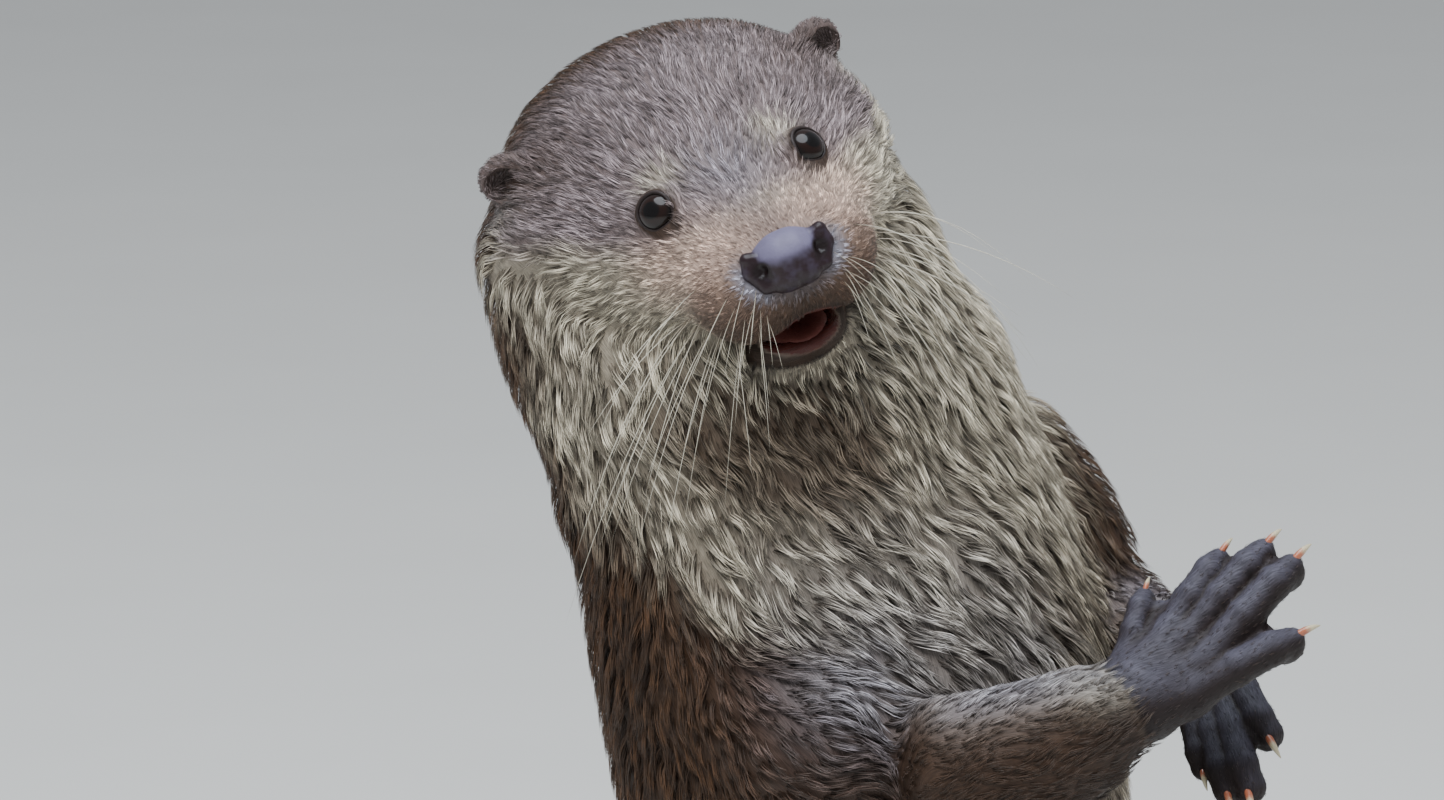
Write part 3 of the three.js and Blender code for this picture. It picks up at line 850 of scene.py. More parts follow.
class Markings:
    """Where the coat changes colour. The skin and every tuft read the same masks."""

    CHEEK_LINE = ((-40, -8), (-20, -6), (0, -10), (20, -12), (45, -9), (62, -5), (90, 2))  # y, z on the head
    # The edges of the pale front as height and degrees round the spine, and its strength at each height.
    RIGHT_EDGE = (
        (0, 20), (200, 34), (330, 38), (440, 34), (458, 40),
        (478, 64), (492, 84), (508, 92), (540, 96), (600, 100),
    )
    LEFT_EDGE = (
        (0, 20), (200, 34), (330, 40), (400, 46), (440, 60), (480, 74), (520, 84), (560, 92), (600, 96),
    )
    STRENGTH = (
        (0, 0), (70, 0.05), (160, 0.3), (250, 0.4), (380, 0.46),
        (430, 0.42), (475, 0.5), (505, 0.74), (530, 1),
    )

    def __init__(self, fields: Fields) -> None:
        """Works out the masks: pale, tan and crown; frost, dark and bare; mouth and paw."""
        f = self.fields = fields
        self.noise = mottle(f.points, 0.022, 3.1)
        self.fine = mottle(f.points, 0.008, 9.7)
        self.face = folded(f.head)
        self.height = f.points[:, 2] / MM
        self.front = np.stack((f.angle, self.height), 1)
        self.on_head = f.weight(*HEAD_PARTS)
        self.paw = ramp(0.1, 0.8, f.weight(Part.HAND, Part.FOOT))
        for name in ("hand_right", "hand_left"):
            wrist = ramp(-30, 0, f.anatomy.paws[name].local(f.points)[:, 1]) * (f.side == Side.of(name).value)
            self.paw = np.maximum(self.paw, 0.7 * wrist * f.weight(Part.FOREARM))
        # How far each point of the head lies below the line from muzzle to ear.
        self.below = np.interp(self.face[:, 1], *zip(*self.CHEEK_LINE)) - self.face[:, 2] + 3.0 * self.noise
        self.pale = self._pale()
        self.tan = self._tan()
        self.crown = self._crown()
        self.frost = self._frost()
        self.mouth = ramp(1.12, 0.96, np.minimum(*self._hollows()))
        self.dark = self._dark()
        self.bare = self._bare()

    def _spot(self, at: tuple, reach: tuple) -> Array:
        """A soft spot on both sides of the face."""
        return bump(self.face, at, reach)

    def _pale(self) -> Array:
        """The cream of throat, cheeks and chest, less under the chin where shade is painted, and painted light
        on paws and the right arm.
        """
        f = self.fields
        right, left = (np.interp(self.height, *zip(*edge)) for edge in (self.RIGHT_EDGE, self.LEFT_EDGE))
        edge = np.where(f.angle < 0, right, left)
        body = ramp(-16, 16, edge - np.abs(f.angle) + 12 * self.noise + 5 * self.fine)
        body *= np.interp(self.height, *zip(*self.STRENGTH)) * (1 - f.weight(Part.TAIL))
        # Painted shade under the chin and in the hollows of neck and chest: the cream is taken out there.
        throat = self._spot((0, -8, -78), (26, 34, 24))
        hollow = np.clip(1.5 * bump(self.front, (-54, 537), (21, 18)), 0, 1) * (1.1 + 0.25 * self.noise)
        hollow += 0.5 * bump(self.front, (22, 470), (30, 40))
        body *= (1 - 0.88 * np.clip(throat + hollow, 0, 1)) * (1 - 0.2 * f.weight(Part.CHEST))
        head = ramp(-7, 7, self.below) * ramp(-34, -14, self.face[:, 1])
        head = np.maximum(head, 0.8 * self._spot((18, 3, 8), (6.5, 7, 4.5)))
        head = np.maximum(head, 0.5 * self._spot((54, 58, -4), (9, 12, 7)))
        head += (body * ramp(-4, 9, self.below) - head) * ramp(48, 68, self.face[:, 1])
        pale = body + (head - body) * self.on_head
        pale *= 1 - f.weight(Part.THIGH, Part.SHANK) * 0.7
        # Painted top light: the right arm is paler where it faces up.
        rising = ramp(0.5, 0.95, f.normals[:, 2])
        arm = spread(0.16 * rising * (f.side == Side.RIGHT.value), f.joined, 12)
        pale += (arm - pale) * f.weight(Part.UPPER_ARM, Part.FOREARM)
        # On the paws the pale mask holds painted light instead: lighter where they face up and on ridges, with
        # painted shade in the creases between the digits.
        ridge = ((f.points - spread(f.points, f.joined, 10)) * f.normals).sum(1) / MM
        lit = spread(ramp(0.1, 0.9, f.normals[:, 2]), f.joined, 4)
        lit = lit * (0.55 + 0.6 * ramp(-0.25, 0.45, ridge)) - 0.35 * ramp(0.1, -0.35, ridge)
        return np.clip(pale + (lit - pale) * self.paw, 0, 1)

    def _tan(self) -> Array:
        """The warm muzzle."""
        below = 0.8 * self._spot((25, -10, -14), (12, 12, 9))
        return np.clip(self._spot((15, -27, -12), (15, 16, 13)) + below, 0, 1) * self.on_head

    def _crown(self) -> Array:
        """The grey-brown top of the head, weaker at the temples."""
        temple = 1 - 0.55 * self._spot((46, 48, 16), (17, 22, 15))
        return ramp(-6, 6, -self.below) * self.on_head * ramp(82, 56, self.face[:, 1]) * temple

    def _frost(self) -> Array:
        """Pale bluish-grey hair tips with painted bluish sheen by the nose, on the bridge and chest, and
        painted top light on the forearms.
        """
        f = self.fields
        # Pale bluish-grey hair tips with painted bluish sheen on the bridge, beside the nose and in the
        # chest's swirl.
        bridge = 0.34 * self._spot((0, -8, 8), (12, 14, 12))
        ring = length_of((self.face - (0, -38.5, -15.5)) / np.array((13.8, 10.0, 8.8)))
        wings = (0.3 + 0.65 * ramp(7, 11, self.face[:, 0])) * ramp(1.42, 1.1, ring)
        wings *= ramp(-8, -14, self.face[:, 2]) * self.on_head
        # Painted top light: the forearms are lighter where they face up.
        forearm = 0.42 * ramp(0.6, 0.97, f.normals[:, 2]) * f.weight(Part.FOREARM)
        swirl = 0.4 * ramp(430, 470, self.height) * ramp(520, 490, self.height)
        swirl *= ramp(-80, -45, f.angle) * ramp(20, -10, f.angle) * f.weight(Part.CHEST, Part.UPPER_ARM)
        limb = spread(forearm + swirl, f.joined, 12) * (1 + 0.3 * self.noise)
        return np.clip(bridge + wings + limb, 0, 1)

    def _hollows(self) -> tuple[Array, Array]:
        """The palate's hollow and the jaw's, each 1 at its edge and growing outwards."""
        x, y, z = self.face.T
        roof = (x / 15.2) ** 2 + ((y + 22) / 21) ** 2 + ((z + 38) / 10.2) ** 2
        trough = (x / 12) ** 2 + ((y + 14) / 16.5) ** 2 + ((z + 42.5) / 6) ** 2
        return np.where(self.on_head > 0.5, roof, 9.0), np.where(self.on_head > 0.5, trough, 9.0)

    def _past_lids(self) -> Array:
        """How many degrees each point near an eye lies outside its lids' edge, and a great many elsewhere."""
        eye = self.fields.anatomy.eyes[Side.LEFT]
        away = self.face - eye.centre
        turn, spin = eye.angles(away)
        return np.where(length_of(away) < 13, turn - eye.opening(spin), 99.0)

    def _dark(self) -> Array:
        """The dark rims of eyes, lips and ears, and painted shade: the muzzle's streaks, under the nose and on
        the forearms' undersides.
        """
        f = self.fields
        rim = ramp(16.0, 8.0, self._past_lids())
        roof, trough = self._hollows()
        lips = np.maximum(ramp(1.45, 1.15, roof), ramp(3.8, 2.7, trough))
        ear = self._spot((51.5, 56, 7.5), (7.5, 6.5, 7.0)) * self.on_head
        # Painted shade just under the nose pad.
        under_nose_shade = 0.3 * self._spot((4, -36, -31), (11, 9, 4))
        tear = 0.9 * self._spot((19.5, -7.5, -4.5), (2.6, 3.2, 2.6))
        # Painted shade on the forearms' undersides, where they face down.
        underarm_shade = spread(0.65 * ramp(0.8, 0.3, f.normals[:, 2]) * f.weight(Part.FOREARM), f.joined, 12)
        face = rim + 0.98 * lips * (1 - self.mouth) + 1.1 * ear + under_nose_shade + tear
        return np.clip(face + self._streaks() + underarm_shade, 0, 1)

    def _streaks(self) -> Array:
        """Short dark rays that spread from the nose over the muzzle, painted shade between its fur clumps."""
        x, y, z = self.face.T
        ring, turn = np.hypot(x, z + 15), np.arctan2(x, z + 15)
        rays = np.stack((turn * 8.0, np.hypot(ring, y + 44) / 4.0, self.fields.head[:, 0] * 0.01), 1)
        lines = ramp(0.0, 0.5, mottle(rays * 0.001, 0.001, 4.4))
        return 0.42 * lines * self._spot((17, -26, -18), (17, 20, 15)) * self.on_head

    def _bare(self) -> Array:
        """1 where no hair grows: lids, lips, nose and the hollow of the ear."""
        pad = length_of((self.face - (0, -38.5, -15)) / np.array((13.8, 10.0, 9.0)))
        roof, trough = self._hollows()
        ear = self._spot((51.5, 55, 7.5), (5.5, 5, 5.5)) > 0.5
        return ((self._past_lids() < 13.0) | (pad < 1.0) | (roof < 1.25) | (trough < 2.2) | ear).astype(float)

    def hair_masks(self) -> tuple[Array, Array]:
        """The masks in two groups of three, as the materials read them."""
        first = np.stack((self.pale, self.tan, self.crown), 1)
        return first, np.stack((self.frost, self.dark, self.mouth), 1)


# ---- The lie of the hair ----


class Lie:
    """The direction and growth of the hair at each point of the skin."""

    NOSE = (0, -46, -15)
    CHANGES = {  # how far each measure changes on the muzzle and on the cheeks
        "length": (-0.62, 0.6), "width": (-0.3, 0.3), "depth": (-0.68, 0.9), "spacing": (-0.3, 0.8),
        "strands": (0, 0.9), "reach": (-0.3, 0.75), "gather": (0.2, 0), "wave": (0, 2.6),
    }

    def __init__(self, fields: Fields, markings: Markings) -> None:
        """Works out the flow, and the hair's measures: short on the muzzle, longer on the cheeks.

        Args:
            fields: The skin's fields.
            markings: Its markings.
        """
        f = self.fields = fields
        self.flow = self._flow()
        _, y, z = markings.face.T
        on_head = markings.on_head
        muzzle = ramp(14, -30, y) * on_head
        cheek = ramp(-2, 16, -z - 4 + 0.25 * (y - 20)) * ramp(-2, 26, y) * on_head
        m = self.measure = {
            name: f.growth(name) * (1 + on_muzzle * muzzle) * (1 + on_cheek * cheek)
            for name, (on_muzzle, on_cheek) in self.CHANGES.items()
        }
        m["gather"] = np.clip(m["gather"] + 0.2 * cheek, 0, 0.9)
        # Coarser where the trunk turns away from the light side.
        turned = np.abs((f.angle + 45 + 180) % 360 - 180)
        upper = f.weight(Part.NECK, Part.CHEST)
        far = ramp(92, 122, turned) * upper
        m["spacing"], m["width"] = m["spacing"] * (1 + 0.42 * far), m["width"] * (1 + 0.5 * far)
        # How far along its colouring each strand's root starts: where it is higher, the root shows less
        # underfur and less painted root shade.
        root = 0.3 * np.clip(on_head - 0.8 * cheek - 0.3 * muzzle, 0, 1)
        root += 0.75 * f.weight(Part.HAND, Part.FOOT)
        root += 0.32 * f.weight(Part.BELLY, Part.HIPS, Part.TAIL, Part.THIGH, Part.SHANK)
        m["root"] = root + 0.32 * ramp(70, 110, turned) * upper
        m["paw"] = markings.paw

    def _flow(self) -> Array:
        """The hair's direction: away from the nose, down the trunk and along the limbs."""
        f, frame = self.fields, self.fields.anatomy.head
        flow = f.down.copy()
        head = among(f.part, HEAD_PARTS)
        away = unit(f.head[head] - np.array(self.NOSE))
        away[:, 1] += 0.35
        sinking = 0.35 * ramp(0, -40, f.head[head, 2]) + 1.7 * ramp(45, 88, f.head[head, 1])
        flow[head] = frame.turned(away) + np.outer(sinking, (0, 0, -1))
        for index, _, _, _, tangent in f.limbs():
            flow[index] = tangent
        height = f.points[:, 2] / MM
        upper = f.weight(Part.CHEST, Part.NECK, Part.UPPER_ARM)
        sweep = ramp(430, 465, height) * ramp(545, 500, height)
        sweep *= ramp(-95, -50, f.angle) * ramp(45, 10, f.angle) * upper
        flow += np.outer(1.25 * sweep, (0.64, -0.74, -0.12))
        flow = spread(unit(flow), f.joined, 30)
        return unit(flow - f.normals * (flow * f.normals).sum(1)[:, None])


# ---- Skin ----


class Skin:
    """One closed skin for all the flesh, inside the solids by the coat's depth."""

    VOXEL = 1.2
    CLOSE = 0.45  # how far the solids swell to close the gaps between them
    FACES = 175_000

    def __init__(self, anatomy: Anatomy, nodes: dict) -> None:
        """Keeps what the skin is made from."""
        self.anatomy, self.nodes = anatomy, nodes
        self.tree = PartTree(nodes)
        self.obj: Object | None = None

    def build(self) -> Object:
        """Joins, remeshes, smooths and sinks the flesh, then models the face and paws on it."""
        self._join_flesh()
        self._remesh()
        self._sink()
        self._thin_out()
        obj = self.obj
        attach(obj, "root")
        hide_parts(*FLESH)
        return obj

    def _join_flesh(self) -> None:
        """Copies the flesh solids into one object, swollen until they overlap."""
        copies = []
        for name in (*FLESH, "eye_left", "eye_right", "nose"):
            copy = copied(self.nodes[name])
            copy.parent = None
            for key in list(copy.keys()):
                del copy[key]
            edit(copy, bpy.ops.mesh.remove_doubles, threshold=1e-5)
            place_points(copy, points_of(copy) + normals_of(copy) * self.CLOSE * MM)
            copies.append(copy)
        only(*copies)
        bpy.ops.object.join()
        self.obj = bpy.context.view_layer.objects.active
        self.obj.name = self.obj.data.name = "skin"
        self.obj.data.materials.clear()

    def _remesh(self) -> None:
        """Turns the joined solids into one even closed mesh."""
        modify(self.obj, "REMESH", mode="VOXEL", voxel_size=self.VOXEL * MM)
        LOG.info("skin: %d vertices after the remesh", len(self.obj.data.vertices))

    def _sink(self) -> None:
        """Smooths the mesh, and moves it in by the coat's depth."""
        obj = self.obj
        even_surface(obj, 4)
        f = Fields(self.anatomy, self.tree, obj)
        points, calm = self._calm(f)
        place_points(obj, points)
        even_surface(obj, 6, 1 - calm, f.joined)
        f.points, f.normals = points_of(obj), normals_of(obj)
        markings = Markings(f)
        bare = np.clip(markings.bare + markings.mouth, 0, 1)
        depth = Lie(f, markings).measure["depth"] * (1 - 0.85 * bare)
        tail = f.weight(Part.TAIL)
        slim = ramp(2, 20, f.away) * tail + (1 - tail)
        depth = spread(depth * slim - self._fill(f, markings), f.joined, 12)
        points = points_of(obj) - normals_of(obj) * ((depth + self.CLOSE) * MM)[:, None]
        points[:, 2] = np.maximum(points[:, 2], FLOOR_GAP)
        place_points(obj, points)
        even_surface(obj, 4, 0.8, f.joined)
        self._shape_paws(f)
        self._shape_lids()
        self._shape_nose_bed()
        self.fine = np.clip(f.weight(*HEAD_PARTS, Part.HAND, Part.FOOT) * 1.2, 0, 1)

    @staticmethod
    def _calm(f: Fields) -> tuple[Array, Array]:
        """Smooths the trunk, the limbs and the nape, and leaves the face and the paws as they are.

        Args:
            f: The mesh's f.

        Returns:
            The smoothed points, and how strongly each was smoothed.
        """
        head, neck = f.weight(Part.HEAD), f.weight(Part.NECK)
        broad = f.weight(Part.NECK, Part.CHEST, Part.BELLY, Part.HIPS, Part.THIGH, Part.UPPER_ARM)
        slim = f.weight(Part.TAIL, Part.FOREARM, Part.SHANK)
        face = folded(f.head)
        eye = length_of(face - np.array(EYE_AT))
        mouth = length_of((face - (0, -24, -34)) / (1.0, 1.0, 0.8))
        calm = ramp(10, 18, eye) * ramp(22, 32, mouth) * ramp(-30, -16, face[:, 1])
        top = head * (0.03 + 0.3 * calm) + 1.2 * head * neck
        share = np.clip(0.6 * broad + 0.35 * slim + top, 0, 0.6)
        points = spread(f.points, f.joined, 110, share)
        nape = 4 * head * neck * ramp(34, 60, f.head[:, 1])
        nape = np.clip(1.8 * spread(nape, f.joined, 60), 0, 0.7)
        return spread(points, f.joined, 240, nape), np.maximum(share, nape)

    @staticmethod
    def _fill(f: Fields, markings: Markings) -> Array:
        """How much fuller the flesh is than the solids less their coat, in millimetres.

        Args:
            f: The mesh's f.
            markings: Its markings.

        Returns:
            One value for each point.
        """
        face, head, neck = markings.face, f.weight(Part.HEAD), f.weight(Part.NECK)
        trunk = f.weight(Part.NECK, Part.CHEST, Part.BELLY, Part.HIPS)
        fill = 2.4 * trunk + 1.5 * f.weight(Part.UPPER_ARM, Part.THIGH) + 0.7 * head
        cheeks = np.where(f.head[:, 0] < 0, 5.0, 1.2) * bump(face, (56, 46, -8), (14, 24, 20))
        cheeks += 1.6 * bump(face, (42, 50, 30), (22, 30, 16))
        fill += cheeks * head
        jowl = 5.5 * bump(f.head, (-60, 74, -17), (14, 18, 9))
        fill += jowl - 5.5 * bump(f.head, (66, 50, -66), (14, 22, 12))
        fill -= 7.5 * bump(markings.front, (-128, 517), (42, 27)) * f.weight(Part.NECK, Part.CHEST)
        ruff = ramp(-5, 25, f.along) * ramp(120, 70, f.along) * f.weight(Part.NECK, Part.HEAD)
        behind = ramp(60, 20, np.abs((f.angle + 130 + 180) % 360 - 180))
        ruff *= ramp(20, 50, face[:, 1]) + neck
        return fill + np.clip(ruff, 0, 1) * (2.6 + 3.4 * behind)

    def _shape_paws(self, f: Fields) -> None:
        """Models fingers, toes, webs and pads.

        Args:
            f: The mesh's f.
        """
        points = points_of(self.obj)
        near = f.weight(Part.HAND, Part.FOOT)
        for name, paw in self.anatomy.paws.items():
            local = paw.local(points)
            x, y, z = local.T
            inside = (np.abs(x) < 60) & (y > -14) & (y < 110) & (np.abs(z) < 30)
            index = np.nonzero(inside & (near > 0.02) & (f.side == Side.of(name).value))[0]
            if paw.kind is FOOT:
                share = ramp(-2, 12, y[index] + 14 - 1.2 * np.maximum(z[index], 0))
            else:
                share = ramp(-8, 8, y[index])
            share = share * ramp(0.02, 0.35, near[index])
            points[index] = paw.world(draw_to(local[index], paw.distance, 7, share, 1.6))
        border = 4 * f.weight(Part.FOREARM, Part.SHANK) * near
        border = np.clip(spread(border, f.joined, 14) * 2.2, 0, 0.55)
        points = spread(points, f.joined, 60, border)
        points[:, 2] = np.maximum(points[:, 2], FLOOR_GAP)
        place_points(self.obj, points)
        even_surface(self.obj, 1, near, f.joined)

    def _shape_lids(self) -> None:
        """Wraps the skin round each eye, and tucks it in behind the opening."""
        local = self.anatomy.head.local(points_of(self.obj))
        for eye in self.anatomy.eyes.values():
            away = local - eye.centre
            distance = length_of(away)
            near = distance < 14
            turn, spin = eye.angles(away[near])
            opening = eye.opening(spin)
            lid = -merge(-distance[near], np.full(near.sum(), -(EYE_RADIUS + 0.85)), 1.4)
            hidden = np.minimum(distance[near], EYE_RADIUS - 1.2)
            reach = lid + (hidden - lid) * ramp(opening + 3, opening - 4, turn)
            reach = np.where(turn < 100, reach, distance[near])
            local[near] = eye.centre + away[near] / distance[near][:, None] * reach[:, None]
        place_points(self.obj, self.anatomy.head.world(local))

    def _shape_nose_bed(self) -> None:
        """Lays the skin just under the nose pad, so that the fur meets its edge."""
        nose = Nose()
        local = self.anatomy.head.local(points_of(self.obj))
        index = np.nonzero((local[:, 1] < -32) & (length_of(local - nose.pad_at) < 22))[0]
        share = ramp(2.4, 0.5, nose.distance(local[index], False))

        def bed(points: Array) -> Array:
            """The distance from the bed, which is deeper behind the nostrils."""
            deeper = 3.6 * bump(folded(points), (9.6, -42.5, -13.8), (4.0, 6, 4.6))
            return np.maximum(nose.distance(points, False) + 1.2 + deeper, 0)

        local[index] = draw_to(local[index], bed, 10, share, 1.0)
        place_points(self.obj, self.anatomy.head.world(local))

    def _thin_out(self) -> None:
        """Takes faces away where the coat hides them."""
        obj = self.obj
        group = obj.vertex_groups.new(name="hidden")
        for step in range(11):
            index = np.nonzero(np.round((1 - self.fine) * 10) == step)[0]
            if len(index) and step:
                group.add(index.tolist(), step / 10, "REPLACE")
        ratio = min(1.0, self.FACES / len(triangles_of(obj)))
        modify(obj, "DECIMATE", ratio=ratio, vertex_group=group.name, vertex_group_factor=10.0)
        obj.vertex_groups.clear()
        bpy.ops.object.shade_smooth()
        LOG.info("skin: %d triangles", len(triangles_of(obj)))


# ---- Bare parts ----


def dress(obj: Object, material: Material) -> None:
    """Gives a piece its finish and its place in the model, and reports it.

    Args:
        obj: The piece.
        material: Its finish.
    """
    obj.data.materials.append(material)
    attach(obj, "root")
    LOG.info("%s: %d triangles", obj.name, len(triangles_of(obj)))


def finish_piece(obj: Object, name: str, slot: str, material: Material, *nodes: str) -> None:
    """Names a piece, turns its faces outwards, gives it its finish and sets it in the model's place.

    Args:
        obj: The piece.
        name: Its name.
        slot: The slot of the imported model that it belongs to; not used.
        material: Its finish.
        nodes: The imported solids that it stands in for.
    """
    edit(obj, bpy.ops.mesh.normals_make_consistent, inside=False)
    bpy.ops.object.shade_smooth()
    obj.name = obj.data.name = name
    obj.data.materials.clear()
    if nodes:
        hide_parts(*nodes)
    dress(obj, material)


@dataclass(frozen=True)
class Eyes:
    """The eyeballs and the rims of the lids."""

    segments: int = 56
    rings: int = 36
    cornea: float = 0.45  # how far the clear front stands out
    rim: float = 0.5  # half thickness of a lid's edge

    def build(self, anatomy: Anatomy, finish: Material, lid_finish: Material) -> None:
        """Makes both eyes."""
        for side, eye in anatomy.eyes.items():
            name = side.name.lower()
            finish_piece(self._ball(anatomy.head, eye), f"eyeball_{name}", "eye", finish, f"eye_{name}")
            finish_piece(self._lid(anatomy.head, eye), f"lid_{name}", "coat_face", lid_finish)

    def _ball(self, head: HeadFrame, eye: Eye) -> Object:
        """An eyeball that looks out of its opening."""
        bpy.ops.mesh.primitive_uv_sphere_add(segments=self.segments, ring_count=self.rings, radius=1.0)
        obj = bpy.context.active_object
        rows = unit(points_of(obj))
        reach = EYE_RADIUS + self.cornea * ramp(0.6, 0.95, rows[:, 2])
        place_points(obj, head.world(eye.centre + (rows * reach[:, None]) @ eye.frame.T))
        store(obj, "gaze", rows[:, 2])
        return obj

    def _lid(self, head: HeadFrame, eye: Eye) -> Object:
        """The soft rim round the opening."""
        add = bpy.ops.mesh.primitive_torus_add
        add(major_segments=80, minor_segments=12, major_radius=1, minor_radius=0.1)
        obj = bpy.context.active_object
        x, y, z = points_of(obj).T
        spin = np.degrees(np.arctan2(y, x))
        outwards, rise = (np.hypot(x, y) - 1) / 0.1, z / 0.1
        thick = self.rim * (1 + 0.25 * np.sin(np.radians(spin)))
        turn = eye.opening(spin) + 2.0 + np.degrees(outwards * thick * 1.15 / (EYE_RADIUS + 0.4))
        place_points(obj, head.world(eye.place(turn, spin, EYE_RADIUS + 0.2 + rise * thick)))
        # Painted light: the rim is lighter where it stands out from the eye.
        store(obj, "height", np.clip(0.5 + 0.5 * rise, 0, 1))
        return obj


@dataclass(frozen=True)
class Nose:
    """The nose pad, with its nostrils and the wings outside them."""

    pad_at: tuple = (0, -40.8, -15.0)
    pad_half: tuple = (8.2, 6.4, 8.2)
    pad_corner: float = 5.8
    taper: float = 0.022  # how the pad narrows upwards, for each millimetre
    lean: float = 0.16  # how its front leans back upwards
    body: tuple = ((0, -38.0, -14.6), (12.2, 6.8, 7.9))  # what the pad and the wings stand on
    wing: tuple = (((11.6, -39.6, -10.3), 2.3), ((12.3, -40.2, -14.2), 1.8), ((9.6, -42.4, -19.2), 2.1))
    nostril: tuple = (((10.5, -46.0, -10.6), 1.2), ((9.8, -46.6, -15.4), 2.0))
    deep: tuple = (((9.9, -45.0, -13.6), 1.9), ((9.5, -43.6, -13.8), 1.7))  # how the nostril goes in
    groove: tuple = (((0, -48.0, -18.0), 0.4), ((0, -46.4, -24.5), 0.9))
    middle: tuple = (0, -39.5, -14.6)  # what the surface is traced from

    def distance(self, points: Array, hollow: bool = True) -> Array:
        """The signed distance from points of the head's frame, in millimetres.

        Args:
            points: The points.
            hollow: Whether the nostrils and the groove are cut in.

        Returns:
            The distances.
        """
        p = folded(points)
        q = p.copy()
        q[:, 1] -= self.lean * (q[:, 2] - self.pad_at[2])
        q[:, 0] *= 1 + self.taper * np.clip(q[:, 2] - self.pad_at[2], -9, 9)
        shape = slab(q, self.pad_at, self.pad_half, self.pad_corner)
        shape = merge(shape, pebble(p, *self.body), 2.5)
        for (a, ra), (b, rb) in zip(self.wing[:-1], self.wing[1:]):
            shape = merge(shape, capsule(p, a, b, ra, rb), 2.2)
        if not hollow:
            return shape
        shape = carve(shape, self._opening(p), 0.7)
        (a, ra), (b, rb) = self.groove
        return carve(shape, capsule(p, a, b, ra, rb), 1.2)

    def _opening(self, points: Array) -> Array:
        """The signed distance from the nostrils' hollow, for folded points."""
        return np.min([capsule(points, a, b, ra, rb) for (a, ra), (b, rb) in (self.nostril, self.deep)], 0)

    def build(self, anatomy: Anatomy, finish: Material) -> None:
        """Makes the nose from a fine ball."""
        bpy.ops.mesh.primitive_ico_sphere_add(subdivisions=6, radius=1.0)
        obj = bpy.context.active_object
        rays = unit(unit(points_of(obj)) * (13.5, 8.0, 9.5))
        reach = np.full(len(rays), 20.0)
        for _ in range(60):
            gap = self.distance(rays * reach[:, None] + self.middle)
            reach -= 0.75 * np.clip(gap, -0.5, 2.0)
        place_points(obj, rays * np.clip(reach, 4, 20)[:, None] + self.middle)
        even_surface(obj, 3, 0.8)
        local, normals = points_of(obj), normals_of(obj)
        place_points(obj, anatomy.head.world(local))
        # Painted reflection of the overhead sky lamp: the pad's top and upward faces take the lighter bluish
        # colour.
        lit = 0.8 * ramp(-14.8, -9.8, local[:, 2]) + 0.3 * ramp(0, 0.7, normals[:, 2])
        lit *= ramp(10.5, 6.5, np.abs(local[:, 0]))
        store(obj, "lit", np.clip(lit, 0, 1))
        # Painted shade deep in the nostrils.
        store(obj, "pit", ramp(1.9, 0.4, self._opening(folded(local))))
        finish_piece(obj, "nose_pad", "nose_skin", finish, "nose")


@dataclass(frozen=True)
class Tongue:
    """The tongue, low in the open mouth."""

    at: tuple = (0, -11.6, -45.2)
    half: tuple = (11.0, 17.2, 4.2)
    groove: float = 0.7

    def build(self, anatomy: Anatomy, finish: Material) -> None:
        """Makes the tongue from a ball."""
        bpy.ops.mesh.primitive_ico_sphere_add(subdivisions=5, radius=1.0)
        obj = bpy.context.active_object
        rows = unit(points_of(obj))
        x, y, z = rows.T
        shape = rows * self.half
        top = ramp(-0.2, 0.5, z)
        shape[:, 2] -= self.groove * np.exp(-((x / 0.22) ** 2)) * top * ramp(-1.0, -0.3, y)
        shape[:, 2] += 0.5 * x * x * top + 0.6 * ramp(0, -1, y)
        place_points(obj, anatomy.head.world(shape + self.at))
        finish_piece(obj, "tongue_soft", "mouth_skin", finish, "tongue")


@dataclass(frozen=True)
class Claws:
    """The claws: one is modelled and copied to the end of each digit."""

    stations: tuple = (
        # step forwards, drop, size of the next ring over the last
        (3.4, 0.3, 1.06),
        (3.2, 0.05, 0.96),
        (2.8, -0.50, 0.84),
        (2.4, -1.00, 0.7),
        (2.0, -1.35, 0.52),
        (1.1, -1.05, 0.3),
    )
    half: tuple = (1.9, 2.3)
    start: tuple = (0.0, 0.9, -5.0)

    def model(self) -> Object:
        """One claw, in millimetres, pointing along z with its back along y."""
        bpy.ops.mesh.primitive_circle_add(vertices=12, radius=1.0, fill_type="NGON")
        obj = bpy.context.active_object
        bpy.ops.object.mode_set(mode="EDIT")
        bpy.ops.mesh.select_all(action="SELECT")
        bpy.ops.transform.resize(value=(*self.half, 1.0), center_override=(0, 0, 0))
        bpy.ops.transform.translate(value=self.start)
        x, y, z = self.start
        for forwards, drop, size in self.stations:
            bpy.ops.mesh.extrude_region_move(TRANSFORM_OT_translate={"value": (0, drop, forwards)})
            y, z = y + drop, z + forwards
            bpy.ops.transform.resize(value=(size, size, 1.0), center_override=(x, y, z))
        bpy.ops.object.mode_set(mode="OBJECT")
        modify(obj, "SUBSURF", levels=1)
        store(obj, "tip", ramp(-3.0, 9.0, points_of(obj)[:, 2]))
        return obj

    def build(self, anatomy: Anatomy, finish: Material) -> None:
        """Copies the claw to every digit, and joins those of each paw."""
        model = self.model()
        shape = points_of(model)[:, (0, 2, 1)]
        for name, paw in anatomy.paws.items():
            copies = [copied(model) for _ in paw.digits]
            for copy, digit in zip(copies, paw.digits):
                place_points(copy, paw.world(paw.at_tip(digit, shape)))
            only(*copies)
            bpy.ops.object.join()
            nodes = [f"claw_{name}_{number}" for number in range(1, 6)]
            finish_piece(copies[0], f"claws_{name}", "claw", finish, *nodes)
        bpy.data.objects.remove(model)


# ---- Coat ----


